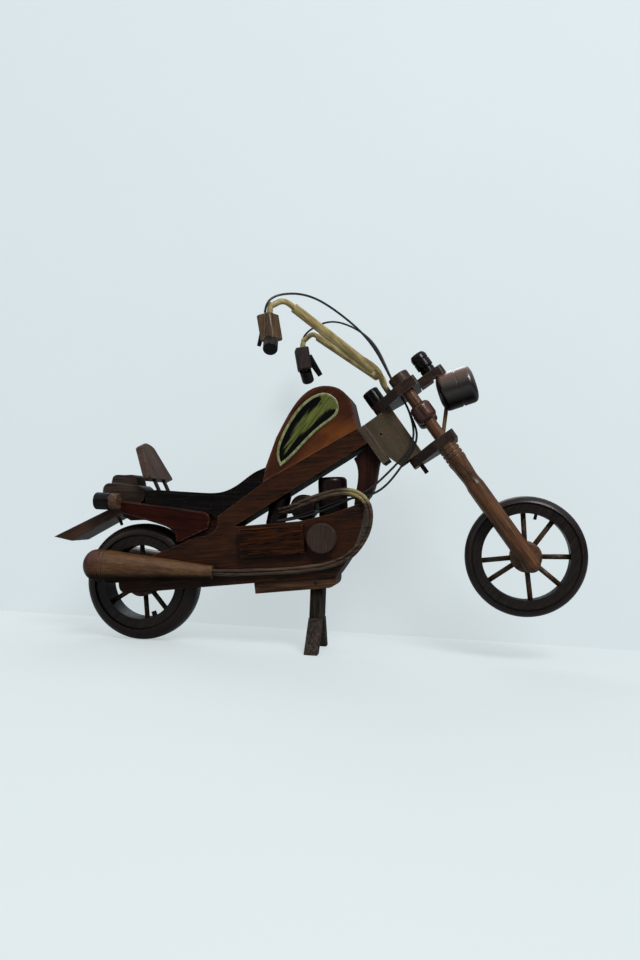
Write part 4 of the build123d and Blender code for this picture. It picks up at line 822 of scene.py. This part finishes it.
def cords():
    """One smooth cord a side, from grip block to engine."""
    material = cord()
    upper = solids("cables_upper")

    def sideways(part):
        return sum(point.y for point in part[0].values()) / len(part[0])

    lower = sorted(solids("cables_lower"), key=sideways)
    for side, tag in SIDES:
        grip = middle("grip_block_" + tag)
        top = min(upper, key=lambda part: min((p - grip).length for p in part[0].values()))
        upper_line = centreline(*top, grip, CORD_STEP)
        join = upper_line[-1]
        bottom = lower[(1 + side) // 2]
        lower_line = centreline(*bottom, join, CORD_STEP)
        line = even_line(smooth_line(upper_line[:-1] + lower_line[1:], 10), CORD_POINTS)
        builder = bmesh.new()
        tube(builder, line, lambda share, angle: CORD_R, CORD_SIDES)
        piece = new_piece("cord_" + tag, builder, material)
        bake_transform(piece)
        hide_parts("cables_upper", "cables_lower")


# ---------------------------------------------------------------- tank emblems
RIM_WIDTH = 1.4 * MM
RIM_LIFT = 0.22 * MM
RIM_SHARE_OF_ROOM = 0.46
BED_DEPTH = 0.5 * MM
FIELD_LIFT = 0.02 * MM
LEAF_POINTS = 120
LEAF_HALF_WIDTH = 0.17


def leaf_outline(side):
    """The emblem plate's outline on its outer face, in order, evenly spaced."""
    builder = bmesh.new()
    builder.from_mesh(frame["nodes"]["tank_emblems"].data)
    bmesh.ops.remove_doubles(builder, verts=builder.verts, dist=0.001 * MM)
    outer = set()
    for face in builder.faces:
        if face.normal.y * side > 0.99 and face.calc_center_median().y * side > 0:
            outer.add(face)
    links = {}
    for edge in builder.edges:
        if sum(face in outer for face in edge.link_faces) == 1:
            first, second = edge.verts
            links.setdefault(first, []).append(second)
            links.setdefault(second, []).append(first)
    start = min(links, key=lambda vert: vert.co.z)
    before, here = start, links[start][0]
    line = [start.co.copy()]
    while here != start:
        line.append(here.co.copy())
        onward = links[here][0] if links[here][0] != before else links[here][1]
        before, here = here, onward
    builder.free()
    return even_line(line + [line[0]], LEAF_POINTS + 1)[:-1]


def leaf_room(outline, out):
    """For each outline point: its inward direction and its room before the rim would cross."""
    count = len(outline)
    turn = sum((outline[i].cross(outline[(i + 1) % count]).dot(out) for i in range(count)))
    inward = []
    for i in range(count):
        run = outline[(i + 2) % count] - outline[i - 2]
        inward.append((out.cross(run) if turn > 0 else run.cross(out)).normalized())
    room = []
    for i, point in enumerate(outline):
        across = out.cross(inward[i])
        nearest = math.inf
        for k in range(count):
            first = outline[k] - point
            second = outline[(k + 1) % count] - point
            a, b = first.dot(across), second.dot(across)
            if k in (i, (i - 1) % count) or a * b > 0 or a == b:
                continue
            ahead = first.lerp(second, a / (a - b)).dot(inward[i])
            if ahead > 0.02 * MM:
                nearest = min(nearest, ahead)
        room.append(RIM_SHARE_OF_ROOM * nearest)
    return inward, room


def emblem(side, tag, rim_material, field_material):
    """Raised painted border round a flat leaf-shaped field."""
    outline = leaf_outline(side)
    tip = min(outline, key=lambda point: point.z)
    head = max(outline, key=lambda point: (point - tip).length)
    out = Y_AXIS * side
    inward, room = leaf_room(outline, out)

    def ring(builder, inset, lift):
        verts = []
        for point, inner, space in zip(outline, inward, room):
            verts.append(builder.verts.new(point + inner * min(inset, space) + out * lift))
        return verts

    def bridge(builder, first, second):
        count = len(first)
        for k in range(count):
            builder.faces.new((first[k], first[(k + 1) % count], second[(k + 1) % count], second[k]))

    builder = bmesh.new()
    profile = [
        (0.0, -BED_DEPTH),
        (0.0, 0.0),
        (0.12 * RIM_WIDTH, 0.7 * RIM_LIFT),
        (0.35 * RIM_WIDTH, RIM_LIFT),
        (0.65 * RIM_WIDTH, RIM_LIFT),
        (0.9 * RIM_WIDTH, 0.6 * RIM_LIFT),
        (RIM_WIDTH, -0.1 * MM),
        (RIM_WIDTH, -BED_DEPTH),
    ]
    rings = [ring(builder, inset, lift) for inset, lift in profile]
    for first, second in zip(rings, rings[1:] + rings[:1]):
        bridge(builder, first, second)
    bmesh.ops.recalc_face_normals(builder, faces=builder.faces)
    rim = new_piece("emblem_rim_" + tag, builder, rim_material)
    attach(rim, "frame")

    builder = bmesh.new()
    bed = ring(builder, 0.7 * RIM_WIDTH, -BED_DEPTH)
    face = ring(builder, 0.7 * RIM_WIDTH, FIELD_LIFT)
    bridge(builder, bed, face)
    builder.faces.new(face)
    builder.faces.new(list(reversed(bed)))
    bmesh.ops.recalc_face_normals(builder, faces=builder.faces)
    field = new_piece("emblem_field_" + tag, builder, field_material, False)
    run = field.data.attributes.new("leaf_run", "FLOAT", "POINT")
    across = field.data.attributes.new("leaf_side", "FLOAT", "POINT")
    whole = head - tip
    upper = whole.cross(Y_AXIS).normalized()
    if upper.z < 0:
        upper = -upper
    for vert in field.data.vertices:
        place = vert.co - tip
        run.data[vert.index].value = place.dot(whole) / whole.length_squared
        across.data[vert.index].value = place.dot(upper) / (LEAF_HALF_WIDTH * whole.length)
    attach(field, "frame")
    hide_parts("tank_emblems")


# ---------------------------------------------------------------- stage, light and camera
def stage_material(name, code, glow):
    """Pale card that the camera sees glowing a little; seen from behind it lets the camera through."""
    g = Graph(name)
    cloud = g.noise(g.millimetres(), 0.012, 2.0, 0.5, 3.0)
    colour = g.blend(g.calc("MULTIPLY", cloud, 0.12), paint(code), paint("#c9dae2"))
    body = g.add("BsdfDiffuse", {"Color": g.blend(1.0, colour, (0.36, 0.36, 0.36, 1), "MULTIPLY")})
    seen = g.add("LightPath").outputs["Is Camera Ray"]
    light = g.add("Emission", {"Color": colour, "Strength": g.calc("MULTIPLY", seen, glow)})
    lit = g.add("AddShader", {0: body.outputs[0], 1: light.outputs[0]})
    clear = g.add("BsdfTransparent")
    behind = g.add("NewGeometry").outputs["Backfacing"]
    mixed = g.add("MixShader", {0: behind, 1: lit.outputs[0], 2: clear.outputs[0]})
    g.add("OutputMaterial", {"Surface": mixed.outputs[0]})
    return g.material


def sheet(name, corners, material):
    builder = bmesh.new()
    builder.faces.new([builder.verts.new(corner) for corner in corners])
    item = new_piece(name, builder, material, False)
    return item


STAGE_REACH = 3.0
WALL_Y = 0.066
FLOOR_GLOW = 0.54
WALL_GLOW = 0.67


def set_stage():
    reach = STAGE_REACH
    floor_z = cad_box[0].z
    floor_corners = [(-reach, -reach), (reach, -reach), (reach, reach), (-reach, reach)]
    sheet(
        "floor",
        [(x, y, floor_z) for x, y in floor_corners],
        stage_material("floor_card", "#e9f1f2", FLOOR_GLOW),
    )
    wall_corners = [(-reach, floor_z), (reach, floor_z), (reach, 2 * reach), (-reach, 2 * reach)]
    wall = sheet(
        "wall",
        [(x, WALL_Y, z) for x, z in wall_corners],
        stage_material("wall_card", "#e4eef1", WALL_GLOW),
    )
    wall.visible_diffuse = False
    wall.visible_glossy = False
    wall.visible_shadow = False


def area_light(name, place, target, width, power, code):
    light = bpy.data.lights.new(name, "AREA")
    light.shape = "DISK"
    light.size = width
    light.energy = power
    light.color = paint(code)[:3]
    item = bpy.data.objects.new(name, light)
    item.location = place
    item.rotation_euler = (Vector(target) - Vector(place)).to_track_quat("-Z", "Y").to_euler()
    bpy.context.scene.collection.objects.link(item)
    return item


def set_world():
    """Soft sky: bright overhead and dim round the horizon, but pale where the camera sees it."""
    world = bpy.data.worlds.new("studio")
    world.use_nodes = True
    tree = world.node_tree
    place = tree.nodes.new("ShaderNodeTexCoord").outputs["Generated"]
    split = tree.nodes.new("ShaderNodeSeparateXYZ")
    tree.links.new(place, split.inputs[0])
    climb = tree.nodes.new("ShaderNodeMapRange")
    climb.interpolation_type = "SMOOTHSTEP"
    climb.inputs["From Min"].default_value = 0.05
    climb.inputs["From Max"].default_value = 0.95
    climb.inputs["To Min"].default_value = 0.06
    climb.inputs["To Max"].default_value = 0.8
    tree.links.new(split.outputs["Z"], climb.inputs["Value"])
    sky = tree.nodes["Background"]
    sky.inputs["Color"].default_value = paint("#dfe9ee")
    seen = tree.nodes.new("ShaderNodeLightPath").outputs["Is Camera Ray"]
    strength = tree.nodes.new("ShaderNodeMath")
    strength.operation = "MAXIMUM"
    tree.links.new(seen, strength.inputs[0])
    tree.links.new(climb.outputs["Result"], strength.inputs[1])
    tree.links.new(strength.outputs[0], sky.inputs["Strength"])
    bpy.context.scene.world = world


def set_light():
    centre = (cad_box[0] + cad_box[1]) / 2
    area_light("key", (0.45, -0.75, 0.95), centre, 0.5, 9.0, "#ffffff")
    area_light("fill", (-0.9, -0.6, 0.5), centre, 0.9, 1.2, "#f2f7fa")
    area_light("rim", (-0.2, 0.9, 0.9), centre, 0.8, 4.0, "#f2f7fa")
    back = area_light("back", (-1.0, 0.9, 0.35), centre, 0.7, 5.0, "#f6f9fb")
    back.visible_glossy = False


CAMERA_PLACE = Vector((74.5, -427.3, 73.9)) * MM
CAMERA_AZIMUTH = 9.51
CAMERA_RISE = 1.58
CAMERA_ROLL = 2.17
CAMERA_LENS = 32.0


def set_camera():
    camera = bpy.data.cameras.new("camera")
    camera.lens = CAMERA_LENS
    camera.sensor_width = 36.0
    camera.clip_start = 0.01
    item = bpy.data.objects.new("camera", camera)
    bpy.context.scene.collection.objects.link(item)
    turn = Matrix.Rotation(math.radians(CAMERA_AZIMUTH), 4, "Z")
    rise = Matrix.Rotation(math.radians(90 + CAMERA_RISE), 4, "X")
    roll = Matrix.Rotation(math.radians(CAMERA_ROLL), 4, "Z")
    item.matrix_world = Matrix.Translation(CAMERA_PLACE) @ turn @ rise @ roll
    bpy.context.scene.camera = item
    bpy.context.scene.view_settings.view_transform = "Standard"


# ---------------------------------------------------------------- build
dress_frame()
dress_stand()
dress_wheel("rear", 24.0)
dress_wheel("front", 25.8)
dress_steering()
rim_paint = emblem_rim()
field_paint = emblem_field()
for side, tag in SIDES:
    rattan_pipe(side, tag)
    emblem(side, tag, rim_paint, field_paint)
cords()
set_stage()
set_world()
set_light()
set_camera()
